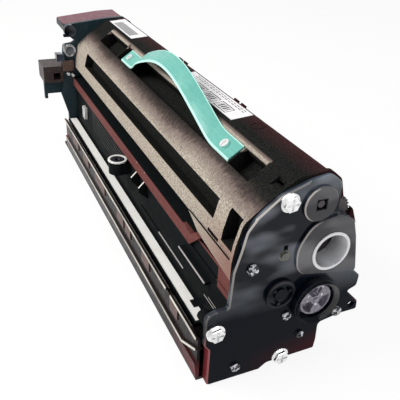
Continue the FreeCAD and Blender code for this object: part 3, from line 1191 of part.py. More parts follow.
def drive_coupling():
    """Hub with three vanes at its face and the drive gear behind the plate."""
    hub = rod(DRIVE, CUP_BORE_R - RUN_FIT, PLATE_FACE, DEV_GEAR_PLANE[0])
    hub = hub.fuse(rod(DRIVE, COUPLING_R, COUPLING_FACE, PLATE_FACE))
    for vane in range(3):
        middle = COUPLING_TURN + 120.0 * vane
        hub = hub.cut(sector(DRIVE, VANE_HUB_R, COUPLING_R - 1.4, middle - 34.0, middle + 34.0,
                             COUPLING_FACE - 1.0, COUPLING_FACE + VANE_DEPTH))
    hub = hub.fuse(rod(DRIVE, COUPLING_PIN_R, COUPLING_FACE - 1.0, COUPLING_FACE))
    return hub.fuse(gear(DRIVE, DRIVE_TEETH, DEV_GEAR_PLANE)).removeSplitter()


def drive_cup():
    cup = tube(DRIVE, CUP_R, CUP_BORE_R + 0.4, -CUP_FRONT, PLATE_FACE)
    inner = Part.makeCone(CUP_BORE_R + 3.0, CUP_BORE_R + 0.4, 3.0, V(CUP_FRONT, DRIVE[0], DRIVE[1]),
                          V(-1, 0, 0))
    step = tube(DRIVE, CUP_R + 1.0, CUP_R - 1.4, -CUP_FRONT - 1.0, -CUP_FRONT + 1.6)
    return cup.cut(inner).cut(step)


def feed_bearing_cap():
    cap = rod(FEED, CAP_R, PLATE_FACE - CAP_HEIGHT, PLATE_FACE)
    cap = cap.cut(rod(FEED, CAP_R - 2.0, PLATE_FACE - CAP_HEIGHT - 1.0, PLATE_FACE - 1.0))
    cap = cap.fuse(rod(FEED, 4.6, PLATE_FACE - CAP_HEIGHT, PLATE_FACE - 0.5))
    for angle in (20.0, 140.0, 260.0):
        spot = along(FEED[0], FEED[1], angle, 7.0)
        cap = cap.fuse(rod(spot, 1.3, PLATE_FACE - CAP_HEIGHT - 0.4, PLATE_FACE - 0.5))
    return cap.removeSplitter()


def hook_pin():
    return rod(HOOK, HOOK_R - 1.3, PLATE_FACE - 1.5, PLATE_FACE).fuse(
        rod(HOOK, HOOK_R - 0.05, PLATE_FACE, PLATE_FACE + PLATE_THICK))


def fill_port_ring():
    ring = Part.makeCylinder(PORT_R, 1.5, V(-PORT_X, PORT_Y, PORT_TOP_Z - 1.5))
    return ring.cut(Part.makeCylinder(PORT_R - 2.2, 4.0, V(-PORT_X, PORT_Y, PORT_TOP_Z - 3.0)))


def fill_port_plug():
    low = PORT_TOP_Z - PORT_HEIGHT + 2.0
    plug = Part.makeCylinder(PORT_BORE_R - 0.05, PORT_HEIGHT - 3.5, V(-PORT_X, PORT_Y, low))
    head = Part.makeCylinder(PORT_R - 2.4, 0.8, V(-PORT_X, PORT_Y, PORT_TOP_Z - 1.5))
    return plug.fuse(head).cut(Part.makeCylinder(2.2, 3.0, V(-PORT_X, PORT_Y, PORT_TOP_Z - 2.2)))


def wire_clip():
    """Small white clip with two uprights and a bar, on the housing wall."""
    clip = None
    for depth in (CLIP_X - 4.2, CLIP_X + 2.2):
        post = block((depth, depth + 2.4), (HOUSING_LEFT - 3.5, HOUSING_LEFT), (CLIP_Z - 7.0, CLIP_Z + 7.0))
        clip = post if clip is None else clip.fuse(post)
    bar = block((CLIP_X - 3.0, CLIP_X + 3.5), (HOUSING_LEFT - 2.6, HOUSING_LEFT),
                (CLIP_Z - 1.4, CLIP_Z + 1.4))
    return clip.fuse(bar).removeSplitter()


def toner_inlet_block():
    start = BODY_LENGTH + FAR_FRAME_THICK
    end = start + INLET_DEPTH
    body = prism(INLET_OUTLINE, start, end)
    body = body.cut(block((start + 3.0, end + 1.0), PORT_SPAN_Y, PORT_SPAN_Z))
    low = PORT_SPAN_Z[0] - SHUTTER_LAP - SHUTTER_PLAY
    high = PORT_SPAN_Z[1] + SHUTTER_LAP + SHUTTER_PLAY
    front = end + 2.0 * SHUTTER_PLAY + SHUTTER_THICK
    for inner, outer in ((low, low - RAIL_WALL), (high, high + RAIL_WALL)):
        hook = inner + math.copysign(RAIL_HOOK, inner - outer)
        body = body.fuse(block((end, front + RAIL_WALL), RAIL_Y, sorted((inner, outer))))
        body = body.fuse(block((front, front + RAIL_WALL), RAIL_Y, sorted((hook, outer))))
    return body.removeSplitter()


def inlet_shutter():
    end = BODY_LENGTH + FAR_FRAME_THICK + INLET_DEPTH
    back = end + SHUTTER_PLAY
    plate = block((back, back + SHUTTER_THICK), SHUTTER_Y,
                  (PORT_SPAN_Z[0] - SHUTTER_LAP, PORT_SPAN_Z[1] + SHUTTER_LAP))
    grip = block((back + 1.0, back + SHUTTER_THICK + 3.0), (SHUTTER_Y[0] + 1.0, SHUTTER_Y[0] + 3.0),
                 (PORT_SPAN_Z[0] + 1.0, PORT_SPAN_Z[1] - 1.0))
    return plate.fuse(grip).removeSplitter()


def inlet_knob():
    knob = rod(KNOB, KNOB_R, BODY_LENGTH - 7.0, BODY_LENGTH)
    return knob.cut(rod(KNOB, KNOB_R - 2.2, BODY_LENGTH - 8.0, BODY_LENGTH - 5.5))


def connector_block():
    start = BODY_LENGTH + FAR_FRAME_THICK
    body = block((start, start + CONNECTOR_DEPTH), CONNECTOR_Y, CONNECTOR_Z)
    body = body.fuse(block((start - CONNECTOR_NOSE, start), (CONNECTOR_Y[0], CONNECTOR_FRONT_Y),
                           CONNECTOR_Z))
    half = SOCKET / 2.0
    middle_y, middle_z = SOCKET_AT
    hole = block((start - CONNECTOR_NOSE - 1.0, start + SOCKET_DEPTH), (middle_y - half, middle_y + half),
                 (middle_z - half, middle_z + half))
    return body.cut(hole).removeSplitter()


def connector_foot():
    start = BODY_LENGTH + FAR_FRAME_THICK
    low = CONNECTOR_Z[0]
    foot = block((start, start + 12.0), (CONNECTOR_Y[0] + 4.0, CONNECTOR_Y[1] - 2.5), (low - 16.0, low))
    return foot.fuse(block((start, start + 6.0), (CONNECTOR_Y[0] + 1.0, CONNECTOR_Y[0] + 4.5),
                           (low - 22.0, low))).removeSplitter()


def latch_block():
    start = BODY_LENGTH + FAR_FRAME_THICK
    body = block((start - 11.0, start), LATCH_Y, LATCH_Z)
    notch = block((start - FAR_FRAME_THICK, start + 1.0), (LATCH_FRAME_Y, 0.0), (-100.0, 100.0))
    return body.cut(notch)


def latch_pad():
    return block((BODY_LENGTH - 5.0, BODY_LENGTH), LATCH_PAD_Y, LATCH_PAD_Z)


def harness_ring():
    ring = tube(HARNESS, HARNESS_R, HARNESS_BORE, BODY_LENGTH - 4.0, BODY_LENGTH)
    tail = block((BODY_LENGTH - 3.0, BODY_LENGTH), (HARNESS[0] - HARNESS_R, HARNESS[0] - HARNESS_R + 2.0),
                 (HARNESS[1] - 1.0, HARNESS[1] + 7.0))
    return ring.fuse(tail).removeSplitter()


def harness_core():
    return rod(HARNESS, HARNESS_BORE - 0.05, BODY_LENGTH - 3.0, BODY_LENGTH)


def locating_pins():
    return group([rod(place, 1.7, BODY_LENGTH - 6.0, BODY_LENGTH) for place in PINS])


def far_screws():
    screws = []
    end = BODY_LENGTH + FAR_FRAME_THICK
    for place in FAR_SCREWS:
        head = rod(place, SMALL_HEAD_R, end, end + 2.4)
        shank = rod(place, SCREW_HOLE_R - 0.1, BODY_LENGTH + 0.3, end + 0.5)
        screws.append(cross_head(head.fuse(shank), V(-end - 2.4, place[0], place[1]), V(-1, 0, 0),
                                 SMALL_HEAD_R, 1.0))
    return group(screws)


def deck_label(depths):
    """Thin plate on the deck between the slope and the right edge."""
    low, high = LABEL_Y
    corners = []
    for y, lift in ((low, 0.0), (high, 0.0), (high, LABEL_THICK), (low, LABEL_THICK)):
        corners.append((y, deck_z(y) + lift))
    return prism(corners, depths[0], depths[1])


def drum_seals():
    seals = []
    for start in (CHAMBER_START + 1.0, CHARGE_END + 1.0):
        seals.append(sector(DRUM, DRUM_R + FACE_GAP, DRUM_OPENING_R, 38.0, 128.0, start, start + 6.0))
    return group(seals)


PARTS = {
    "top_casing": top_casing,
    "development_housing": development_housing,
    "near_end_plate": near_end_plate,
    "far_end_frame": far_end_frame,
    "base_tray": base_tray,
    "lower_guide": lower_guide,
    "guide_pads": guide_pads,
    "blade_strip": blade_strip,
    "carrying_strap": carrying_strap,
    "strap_screws": strap_screws,
    "plate_screws": plate_screws,
    "small_screws": small_screws,
    "far_screws": far_screws,
    "drum_bush": drum_bush,
    "drum_tube": drum_tube,
    "drum_near_flange": drum_near_flange,
    "drum_far_flange": drum_far_flange,
    "charge_roller_shaft": charge_roller_shaft,
    "charge_roller_sleeve": charge_roller_sleeve,
    "charge_cleaning_roller": charge_cleaning_roller,
    "charge_cleaning_shaft": charge_cleaning_shaft,
    "charge_bearings": charge_bearings,
    "charge_holder": charge_holder,
    "charge_springs": charge_springs,
    "cleaning_blade": cleaning_blade,
    "cleaning_blade_bracket": cleaning_blade_bracket,
    "waste_coil": waste_coil,
    "waste_coil_gear": lambda: spur(WASTE, WASTE_TEETH, waste_plane(), WASTE_SHAFT_R, WASTE_PHASE),
    "waste_idler_gear": lambda: spur(IDLER, WASTE_IDLER_TEETH, waste_plane(), IDLER_PIN_R + RUN_FIT,
                                     IDLER_PHASE),
    "developing_sleeve": lambda: tube(SLEEVE, SLEEVE_R, SLEEVE_R - SLEEVE_WALL, SLEEVE_START, SLEEVE_END),
    "sleeve_caps": sleeve_caps,
    "sleeve_gear": lambda: spur(SLEEVE, SLEEVE_TEETH, DEV_GEAR_PLANE, STUB_R, SLEEVE_PHASE),
    "magnet_roller": magnet_roller,
    "sleeve_bearings": sleeve_bearings,
    "auger_bearings": auger_bearings,
    "feed_auger": lambda: mixing_auger(FEED, PLATE_FACE + 1.0),
    "return_auger": lambda: mixing_auger(RETURN, DEV_GEAR_PLANE[0] - 2.0),
    "feed_auger_gear": lambda: spur(FEED, FEED_TEETH, DEV_GEAR_PLANE, AUGER_SHAFT_R, FEED_PHASE),
    "return_auger_gear": lambda: spur(RETURN, RETURN_TEETH, DEV_GEAR_PLANE, AUGER_SHAFT_R, RETURN_PHASE),
    "doctor_blade": doctor_blade,
    "drive_coupling": drive_coupling,
    "drive_cup": drive_cup,
    "feed_bearing_cap": feed_bearing_cap,
    "hook_pin": hook_pin,
    "fill_port_ring": fill_port_ring,
    "fill_port_plug": fill_port_plug,
    "wire_clip": wire_clip,
    "toner_inlet_block": toner_inlet_block,
    "inlet_shutter": inlet_shutter,
    "inlet_knob": inlet_knob,
    "connector_block": connector_block,
    "connector_foot": connector_foot,
    "latch_block": latch_block,
    "latch_pad": latch_pad,
    "harness_ring": harness_ring,
    "harness_core": harness_core,
    "locating_pins": locating_pins,
    "rear_label": lambda: deck_label(REAR_LABEL),
    "front_label": lambda: deck_label(FRONT_LABEL),
    "drum_seals": drum_seals,
}

os.makedirs("parts", exist_ok=True)
for name, build in PARTS.items():
    shape = build()
    shape.exportStep("parts/" + name + ".step")
    state = "ok" if shape.isValid() else "INVALID"
    print(name, len(shape.Solids), "solids", round(shape.Volume), "mm3", state)
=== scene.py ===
"""Looks of the printer drum unit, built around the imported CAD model."""

import json
import math

import bmesh
import bpy
from mathutils import Matrix, Vector


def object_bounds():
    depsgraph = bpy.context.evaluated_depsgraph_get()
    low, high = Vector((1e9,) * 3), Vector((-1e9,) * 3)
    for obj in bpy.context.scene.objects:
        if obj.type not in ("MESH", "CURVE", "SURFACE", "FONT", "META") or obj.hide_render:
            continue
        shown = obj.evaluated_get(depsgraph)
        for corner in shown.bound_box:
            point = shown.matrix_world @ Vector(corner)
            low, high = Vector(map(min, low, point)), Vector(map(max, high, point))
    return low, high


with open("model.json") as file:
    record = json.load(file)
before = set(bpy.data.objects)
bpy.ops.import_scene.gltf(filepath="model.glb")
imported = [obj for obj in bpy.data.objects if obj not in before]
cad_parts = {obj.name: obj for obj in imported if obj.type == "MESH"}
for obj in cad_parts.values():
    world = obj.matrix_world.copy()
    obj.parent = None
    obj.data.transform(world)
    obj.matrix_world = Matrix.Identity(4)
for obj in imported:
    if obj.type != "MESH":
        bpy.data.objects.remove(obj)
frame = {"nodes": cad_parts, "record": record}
cad_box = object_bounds()
nodes = frame["nodes"]

MM = 0.001

# Places of painted light and painted highlights, reddish tones and printed zones. All are in mm in the
# part's own frame: X runs back from the drive end and is negative there, Y to the right, Z up. A fade
# goes from nought at its first value to one at its second, and a box is a range in X, Y and Z.

DECK_REDDEN_Y = (-24.0, -4.0)
LOW_NEAR_X = (-60.0, -12.0)
LOW_NEAR_Z = (24.0, 2.0)
# Painted light on the casing: the slope, side and roll fades place it, and the outside and channel
# fades keep it off the hollows.
SLOPE_FADE_Z = (46.5, 30.8)
SIDE_FADE_Z = (32.0, 28.0)
ROLL_FADE_Y = (-30.0, -33.6)
ROLL_BOX = ((-389.5, -35.5), None, (49.0, 60.0))
SIDE_OUT_Y = (-60.0, -62.5)
SIDE_OUT_Z = (27.0, 30.0)
SLOPE_POINT = (-48.0, 42.0)
SLOPE_NORMAL = (-0.569, 0.822)
CHANNEL_LEVEL = (-3.0, -1.8)
CHANNEL_LOW_Z = (29.5, 28.5)

RIB_BOX = (None, (-75.0, -72.4), (-21.0, -9.0))
RIB_NEAR_BOX = ((-80.0, 2.0), (-76.0, -69.5), (-12.0, 4.0))
RIB_FOOT_BOX = ((-24.0, 2.0), (-76.0, -69.0), (-28.0, -9.0))
# Painted highlights on the housing: strokes on the gusset edges and the lines listed below.
GUSSET_EDGES_X = ((-165.5, -164.0), (-186.0, -184.5))
GUSSET_OUT_Y = (-72.6, -73.0)
GUSSET_TOP_Z = (-27.0, -26.0)
GRID_BOX = ((-352.0, -236.0), (-71.0, -69.4), (-48.0, -28.0))
HIGHLIGHT_LINES = (
    ((-43.0, -18.0), (-71.0, -69.0), (-50.1, -49.3)),
    ((-36.0, -22.0), (-71.0, -69.0), (-47.2, -46.6)),
    ((-81.5, -33.5), (-76.0, -74.3), (-32.3, -31.0)),
    ((-134.0, -79.0), (-71.5, -70.3), (-53.6, -52.2)),
)

PLATE_TOP = -1.6
# The painted reflection on the plate's upper part.
PLATE_REFLECTION_Z = (-42.0, 6.0)
PLATE_SIDE_BOX = (None, (-90.0, -80.0), (-95.0, -58.0))
PLATE_FOOT_Z = (-70.0, -86.0)
PLATE_FOOT_Y = (-60.0, 10.0)
BOSS_FADE_Z = (-24.0, -14.0)
# Painted highlights on the plate's left rim and its lower rim.
RIM_HIGHLIGHT_Z = (-40.0, 34.0)
LOWER_RIM_Z = (-50.0, -60.0)

# Painted highlights along the strap rims.
STRAP_HIGHLIGHT_Y = ((-46.9, -47.3), (-36.5, -36.1))
# The painted highlight along the guide's ridge.
RIDGE_HIGHLIGHT_Y = (-90.0, -90.4)
GUIDE_FOOT_X = (-60.0, -14.0)
GUIDE_FOOT_Z = (-76.0, -86.0)
GUIDE_FAR_X = (-396.0, -412.0)
INLET_TOP_Z = (48.0, 50.0)

REAR_FIELD = ((-411.0, -351.0), (-25.4, -14.8), None)
BAR_GROUPS_X = ((-186.0, -165.0), (-162.0, -141.0), (-138.0, -117.0))
FRAME_Y = (-25.6, -16.2)
FRAME_LINE = 1.0
BAR_MARGIN = 3.0
BARS_Y = (-23.8, -18.0)
ROWS_BOX = ((-200.0, -110.0), (-14.6, -10.2), None)

# Grain of moulded surfaces: noise scale per metre, and depth in metres

FINE_GRAIN = 2600.0
FINE_DEPTH = 0.00004
SMOOTH_GRAIN = 1500.0

# Camera: the photograph's place and direction, in metres

CAMERA_PLACE = (0.2385, -0.2119, 0.2104)
CAMERA_RIGHT = (0.40497, 0.91298, 0.04958)
CAMERA_UP = (-0.47582, 0.16413, 0.86409)
CAMERA_AHEAD = (-0.78076, 0.37352, -0.50089)
LENS = 50.58
SENSOR = 36.0
NEAR_CLIP = 0.01
FAR_CLIP = 20.0


def make_camera():
    data = bpy.data.cameras.new("camera")
    data.lens = LENS
    data.sensor_width = SENSOR
    data.clip_start = NEAR_CLIP
    data.clip_end = FAR_CLIP
    camera = bpy.data.objects.new("camera", data)
    columns = (CAMERA_RIGHT, CAMERA_UP, tuple(-v for v in CAMERA_AHEAD))
    turn = Matrix(columns).transposed().to_4x4()
    camera.matrix_world = Matrix.Translation(CAMERA_PLACE) @ turn
    bpy.context.scene.collection.objects.link(camera)
    bpy.context.scene.camera = camera


# Node helpers


class Maker:
    """Short way to add shader nodes and link them. Places are in mm, in the object's own frame."""

    def __init__(self, name):
        self.material = bpy.data.materials.new(name)
        self.material.use_nodes = True
        self.tree = self.material.node_tree
        self.shader = self.tree.nodes["Principled BSDF"]
        coords = self.add("ShaderNodeTexCoord")
        self.place = coords.outputs["Object"]
        scaled = self.add("ShaderNodeVectorMath", {"Scale": 1000.0}, operation="SCALE")
        self.link(self.place, scaled.inputs[0])
        self.x, self.y, self.z = self.split(scaled.outputs["Vector"])
        self.face_x, self.face_y, self.face_z = self.split(coords.outputs["Normal"])

    def add(self, kind, values=None, **settings):
        node = self.tree.nodes.new(kind)
        for key, value in settings.items():
            setattr(node, key, value)
        for key, value in (values or {}).items():
            node.inputs[key].default_value = value
        return node

    def link(self, start, end):
        self.tree.links.new(start, end)

    def put(self, value, socket):
        if isinstance(value, bpy.types.NodeSocket):
            self.link(value, socket)
        else:
            socket.default_value = value

    def split(self, vector):
        parts = self.add("ShaderNodeSeparateXYZ")
        self.link(vector, parts.inputs[0])
        return parts.outputs[0], parts.outputs[1], parts.outputs[2]

    def math(self, operation, *values):
        node = self.add("ShaderNodeMath", operation=operation)
        for value, socket in zip(values, node.inputs):
            self.put(value, socket)
        return node.outputs[0]

    def both(self, first, second):
        return self.math("MULTIPLY", first, second)

    def either(self, first, second):
        return self.math("MAXIMUM", first, second)

    def linear(self, value, factor, offset):
        return self.math("MULTIPLY_ADD", value, factor, offset)

    def noise(self, scale, detail=3.0, rough=0.5, stretch=None):
        node = self.add("ShaderNodeTexNoise", {"Scale": scale, "Detail": detail, "Roughness": rough})
        start = self.place
        if stretch:
            mapping = self.add("ShaderNodeMapping", {"Scale": stretch})
            self.link(start, mapping.inputs["Vector"])
            start = mapping.outputs["Vector"]
        self.link(start, node.inputs["Vector"])
        return node.outputs["Fac"]

    def span(self, value, low, high, to_low=0.0, to_high=1.0):
        values = {"From Min": low, "From Max": high, "To Min": to_low, "To Max": to_high}
        node = self.add("ShaderNodeMapRange", values)
        self.link(value, node.inputs["Value"])
        return node.outputs["Result"]

    def band(self, value, low, high, soft):
        rise = self.span(value, low - soft, low + soft)
        fall = self.span(value, high - soft, high + soft, 1.0, 0.0)
        return self.both(rise, fall)

    def box(self, xs=None, ys=None, zs=None, soft=0.3):
        """One inside the box, nought outside it."""
        masks = [self.band(value, ends[0], ends[1], soft)
                 for value, ends in ((self.x, xs), (self.y, ys), (self.z, zs)) if ends]
        result = masks[0]
        for mask in masks[1:]:
            result = self.both(result, mask)
        return result

    def mix(self, factor, first, second):
        node = self.add("ShaderNodeMix", data_type="RGBA")
        self.put(factor, node.inputs["Factor"])
        for socket, value in ((node.inputs[6], first), (node.inputs[7], second)):
            if isinstance(value, bpy.types.NodeSocket):
                self.link(value, socket)
            else:
                socket.default_value = (*value, 1.0)
        return node.outputs[2]

    def bump(self, height, strength, distance, under=None):
        node = self.add("ShaderNodeBump", {"Strength": strength, "Distance": distance})
        self.link(height, node.inputs["Height"])
        if under is not None:
            self.link(under, node.inputs["Normal"])
        return node.outputs["Normal"]

    def colour(self, value):
        self.put(value, self.shader.inputs["Base Color"])

    def moulded(self, rough, grain=FINE_GRAIN, depth=FINE_DEPTH, mottle=60.0, specular=0.5, coat=0.0,
                coat_rough=0.1):
        """Spark-eroded surface: fine grain, faint waves and uneven gloss."""
        self.link(self.span(self.noise(mottle * 3.0, 3.0), 0.3, 0.7, rough[0], rough[1]),
                  self.shader.inputs["Roughness"])
        fine = self.bump(self.noise(grain, 2.0, 0.6), 0.6, depth)
        waves = self.bump(self.noise(mottle * 0.8, 2.0), 0.15, 0.0003, fine)
        self.link(waves, self.shader.inputs["Normal"])
        self.shader.inputs["Specular IOR Level"].default_value = specular
        self.put(coat, self.shader.inputs["Coat Weight"])
        self.shader.inputs["Coat Roughness"].default_value = coat_rough
        return self.material


def plastic(name, dark, light, rough=(0.35, 0.5), grain=FINE_GRAIN, depth=FINE_DEPTH, mottle=60.0,
            coat=0.0, specular=0.5):
    """Moulded plastic: two near colours in soft patches."""
    m = Maker(name)
    patches = m.span(m.noise(mottle * 6.0, 4.0, 0.7), 0.35, 0.68)
    m.colour(m.mix(patches, dark, light))
    return m.moulded(rough, grain, depth, mottle, specular, coat)


def metal(name, dark, light, rough=(0.2, 0.35), stretch=(40.0, 1400.0, 1400.0), depth=0.00002,
          metallic=1.0):
    """Bright metal with fine lines along one direction and slight tarnish."""
    m = Maker(name)
    lines = m.noise(1.0, 4.0, 0.65, stretch)
    stain = m.span(m.noise(90.0, 4.0), 0.3, 0.75)
    m.colour(m.mix(stain, light, dark))
    m.link(m.span(lines, 0.3, 0.7, rough[0], rough[1]), m.shader.inputs["Roughness"])
    m.link(m.bump(lines, 0.4, depth), m.shader.inputs["Normal"])
    m.shader.inputs["Metallic"].default_value = metallic
    return m.material


def rubber(name, dark, light, scale=900.0, depth=0.0001, rough=(0.6, 0.85)):
    """Dull elastic surface with fine cells in two near colours."""
    m = Maker(name)
    cells = m.noise(scale, 3.0, 0.6)
    m.colour(m.mix(m.span(cells, 0.35, 0.65), dark, light))
    m.link(m.span(m.noise(120.0), 0.3, 0.7, rough[0], rough[1]), m.shader.inputs["Roughness"])
    m.link(m.bump(cells, 0.8, depth), m.shader.inputs["Normal"])
    return m.material


def stripes(m, value, pitch, share):
    """One on each stripe, nought between. The pitch is in mm, and a stripe fills that share of it."""
    part = m.math("FRACT", m.both(value, 1.0 / pitch))
    return m.math("LESS_THAN", part, share)


def casing():
    """Dark moulded shell, redder to the right of the deck, with painted light: pale where it faces
    left on the lower slope, the side band and the grip channel's roll.
    """
    m = Maker("casing_black")
    speckle = m.noise(1000.0, 4.0, 0.8)
    light_streaks = m.noise(1.0, 4.0, 0.75, (420.0, 240.0, 240.0))
    reach = m.noise(1.0, 2.0, 0.5, (16.0, 30.0, 30.0))
    dark = m.mix(m.span(speckle, 0.42, 0.62), (0.004, 0.006, 0.006), (0.024, 0.023, 0.021))
    # The deck is coloured redder towards the right.
    red_deck = m.mix(m.span(speckle, 0.35, 0.65), (0.03, 0.009, 0.01), (0.066, 0.027, 0.029))
    dark = m.mix(m.both(m.span(m.y, *DECK_REDDEN_Y), 0.9), dark, red_deck)
    # Painted light: a pale tone for lit surfaces, tinted red low at the near end.
    painted_lit_tone = m.mix(m.span(speckle, 0.4, 0.62), (0.19, 0.15, 0.12), (0.49, 0.455, 0.39))
    low_near = m.both(m.span(m.x, *LOW_NEAR_X), m.span(m.z, *LOW_NEAR_Z))
    painted_lit_tone = m.mix(m.both(low_near, 0.75), painted_lit_tone, (0.2, 0.085, 0.07))
    # Painted light where surfaces face left: lower slope, side band and grip channel roll, broken up
    # by streaky noise.
    left = m.both(m.face_y, -1.0)
    wander = m.linear(reach, 8.0, -4.0)
    streak_shift = m.linear(light_streaks, 9.0, -4.5)
    height = m.math("SUBTRACT", m.z, m.math("ADD", wander, streak_shift))
    slope = m.math("POWER", m.span(height, *SLOPE_FADE_Z), 2.7)
    slope = m.both(slope, m.span(left, 0.3, 0.5))
    sides = m.both(m.span(left, 0.5, 0.85), m.span(m.z, *SIDE_FADE_Z, 0.0, 0.65))
    roll = m.both(m.span(m.y, *ROLL_FADE_Y), m.box(*ROLL_BOX, 0.8))
    roll = m.both(roll, m.linear(light_streaks, 0.6, 0.62))
    light = m.either(m.either(slope, sides), roll)
    # The painted light is kept off the insides of the side recess and the grip channel.
    outside = m.either(m.span(m.y, *SIDE_OUT_Y), m.span(m.z, *SIDE_OUT_Z))
    level, rise = (m.linear(value, along, -along * start)
                   for value, along, start in zip((m.y, m.z), SLOPE_NORMAL, SLOPE_POINT))
    level = m.math("ADD", level, rise)
    over_channel = m.either(m.span(level, *CHANNEL_LEVEL), m.span(m.z, *CHANNEL_LOW_Z))
    light = m.both(light, m.both(outside, over_channel))
    # Painted highlight: a faint brown tone where the painted light starts, then the pale painted
    # light.
    painted_highlight = m.mix(m.span(light, 0.0, 0.3), dark, (0.135, 0.1, 0.092))
    m.colour(m.mix(m.span(light, 0.15, 1.0), painted_highlight, painted_lit_tone))
    return m.moulded(rough=(0.42, 0.6), grain=2200.0, depth=0.00006, mottle=55.0, specular=0.002)


def housing():
    """Near-black housing with a red-brown rib, painted highlights as pale strokes on gusset edges and
    pale lines along shelf edges, and a faint grid of dots.
    """
    m = Maker("housing_black")
    speckle = m.noise(1100.0, 4.0, 0.75)
    base = m.mix(m.span(speckle, 0.4, 0.65), (0.004, 0.006, 0.007), (0.012, 0.013, 0.013))
    red = m.mix(m.span(speckle, 0.35, 0.65), (0.09, 0.028, 0.027), (0.17, 0.066, 0.06))
    rib = m.box(*RIB_BOX)
    near = m.box(*RIB_NEAR_BOX)
    foot = m.box(*RIB_FOOT_BOX)
    tone = m.mix(m.either(m.either(rib, near), foot), base, red)
    # Painted highlights: pale strokes on the upward-sloping edge faces of two gussets.
    first, second = (m.band(m.x, *ends, 0.1) for ends in GUSSET_EDGES_X)
    gusset_highlight = m.either(first, second)
    gusset_highlight = m.both(gusset_highlight, m.span(m.y, *GUSSET_OUT_Y))
    gusset_highlight = m.both(gusset_highlight, m.span(m.face_z, 0.3, 0.5))
    gusset_highlight = m.both(gusset_highlight, m.span(m.z, *GUSSET_TOP_Z))
    tone = m.mix(gusset_highlight, tone, (0.75, 0.74, 0.7))
    dots = m.both(stripes(m, m.x, 4.3, 0.3), stripes(m, m.z, 3.7, 0.35))
    dots = m.both(dots, m.box(*GRID_BOX, 0.2))
    dots = m.both(dots, m.span(m.noise(70.0, 1.0), 0.3, 0.7, 0.25, 0.6))
    tone = m.mix(dots, tone, (0.3, 0.3, 0.3))
    # Painted highlights: pale lines along shelf and ledge edges.
    painted_highlight = m.box(*HIGHLIGHT_LINES[0], 0.15)
    for line in HIGHLIGHT_LINES[1:]:
        painted_highlight = m.either(painted_highlight, m.box(*line, 0.15))
    m.colour(m.mix(m.both(painted_highlight, 0.8), tone, (0.55, 0.53, 0.52)))
    return m.moulded(rough=(0.3, 0.45), specular=0.006)


def port_ring():
    """Filling port ring painted pale as a highlight, in soft patches."""
    m = Maker("port_ring")
    # Painted highlight: the whole ring is coloured pale.
    highlight_breakup = m.span(m.noise(500.0, 3.0, 0.6), 0.3, 0.7)
    m.colour(m.mix(highlight_breakup, (0.5, 0.5, 0.48), (0.82, 0.82, 0.8)))
    return m.moulded(rough=(0.3, 0.45), depth=0.00003, specular=0.4)


def plate():
    """Glossy black plate with a painted bluish reflection in cloudy patches on its upper part, a
    reddish foot and side, painted highlights along its left and lower rims, and a duller boss.
    """
    m = Maker("plate_black")
    clouds = m.noise(1.0, 2.0, 0.5, (30.0, 20.0, 42.0))
    high = m.span(m.z, *PLATE_REFLECTION_Z)
    # Painted reflection: bluish cloudy patches on the upper part.
    painted_reflection = m.both(m.span(clouds, 0.44, 0.62), high)
    tone = m.mix(painted_reflection, (0.003, 0.005, 0.009), (0.085, 0.105, 0.14))
    side = m.both(m.span(m.face_y, -0.4, -0.8), m.box(*PLATE_SIDE_BOX, 1.0))
    tone = m.mix(side, tone, (0.12, 0.018, 0.022))
    foot = m.both(m.span(m.z, *PLATE_FOOT_Z), m.span(m.y, *PLATE_FOOT_Y))
    tone = m.mix(m.both(foot, 0.9), tone, (0.05, 0.005, 0.009))
    # Painted highlight: a red line on the lower rim's edge faces.
    lower_rim_highlight = m.both(m.band(m.face_x, 0.3, 0.93, 0.04), m.span(m.z, *LOWER_RIM_Z))
    lower_rim_highlight = m.both(lower_rim_highlight, m.span(m.x, PLATE_TOP + 0.6, PLATE_TOP))
    tone = m.mix(lower_rim_highlight, tone, (0.2, 0.03, 0.04))
    boss = m.both(m.span(m.x, PLATE_TOP, PLATE_TOP + 0.5), m.span(m.z, *BOSS_FADE_Z))
    tone = m.mix(m.both(boss, 0.85), tone, (0.066, 0.063, 0.068))
    # Painted highlight: a pale line on the left rim's edge faces, weaker towards the bottom.
    rim_highlight = m.both(m.band(m.face_x, 0.3, 0.93, 0.04), m.span(m.face_y, -0.15, -0.45))
    rim_highlight = m.both(rim_highlight, m.span(m.z, *RIM_HIGHLIGHT_Z, 0.15, 1.0))
    tone = m.mix(m.both(rim_highlight, 0.85), tone, (0.5, 0.46, 0.43))
    m.colour(tone)
    m.shader.inputs["Coat IOR"].default_value = 1.9
    gloss = m.both(high, m.span(clouds, 0.42, 0.62, 0.12, 1.0))
    return m.moulded(rough=(0.24, 0.4), grain=1800.0, depth=0.000012, mottle=26.0, specular=0.02,
                     coat=m.linear(gloss, 0.95, 0.04), coat_rough=0.06)


def small_screw():
    """Blackened screw with painted highlights as bright spots."""
    m = Maker("small_screw")
    # Painted highlights: bright spots.
    painted_glints = m.span(m.noise(420.0, 2.0), 0.5, 0.58)
    m.colour(m.mix(painted_glints, (0.012, 0.012, 0.016), (0.72, 0.73, 0.77)))
    return m.moulded(rough=(0.18, 0.3), grain=SMOOTH_GRAIN, depth=0.00002, specular=0.2, coat=0.3)


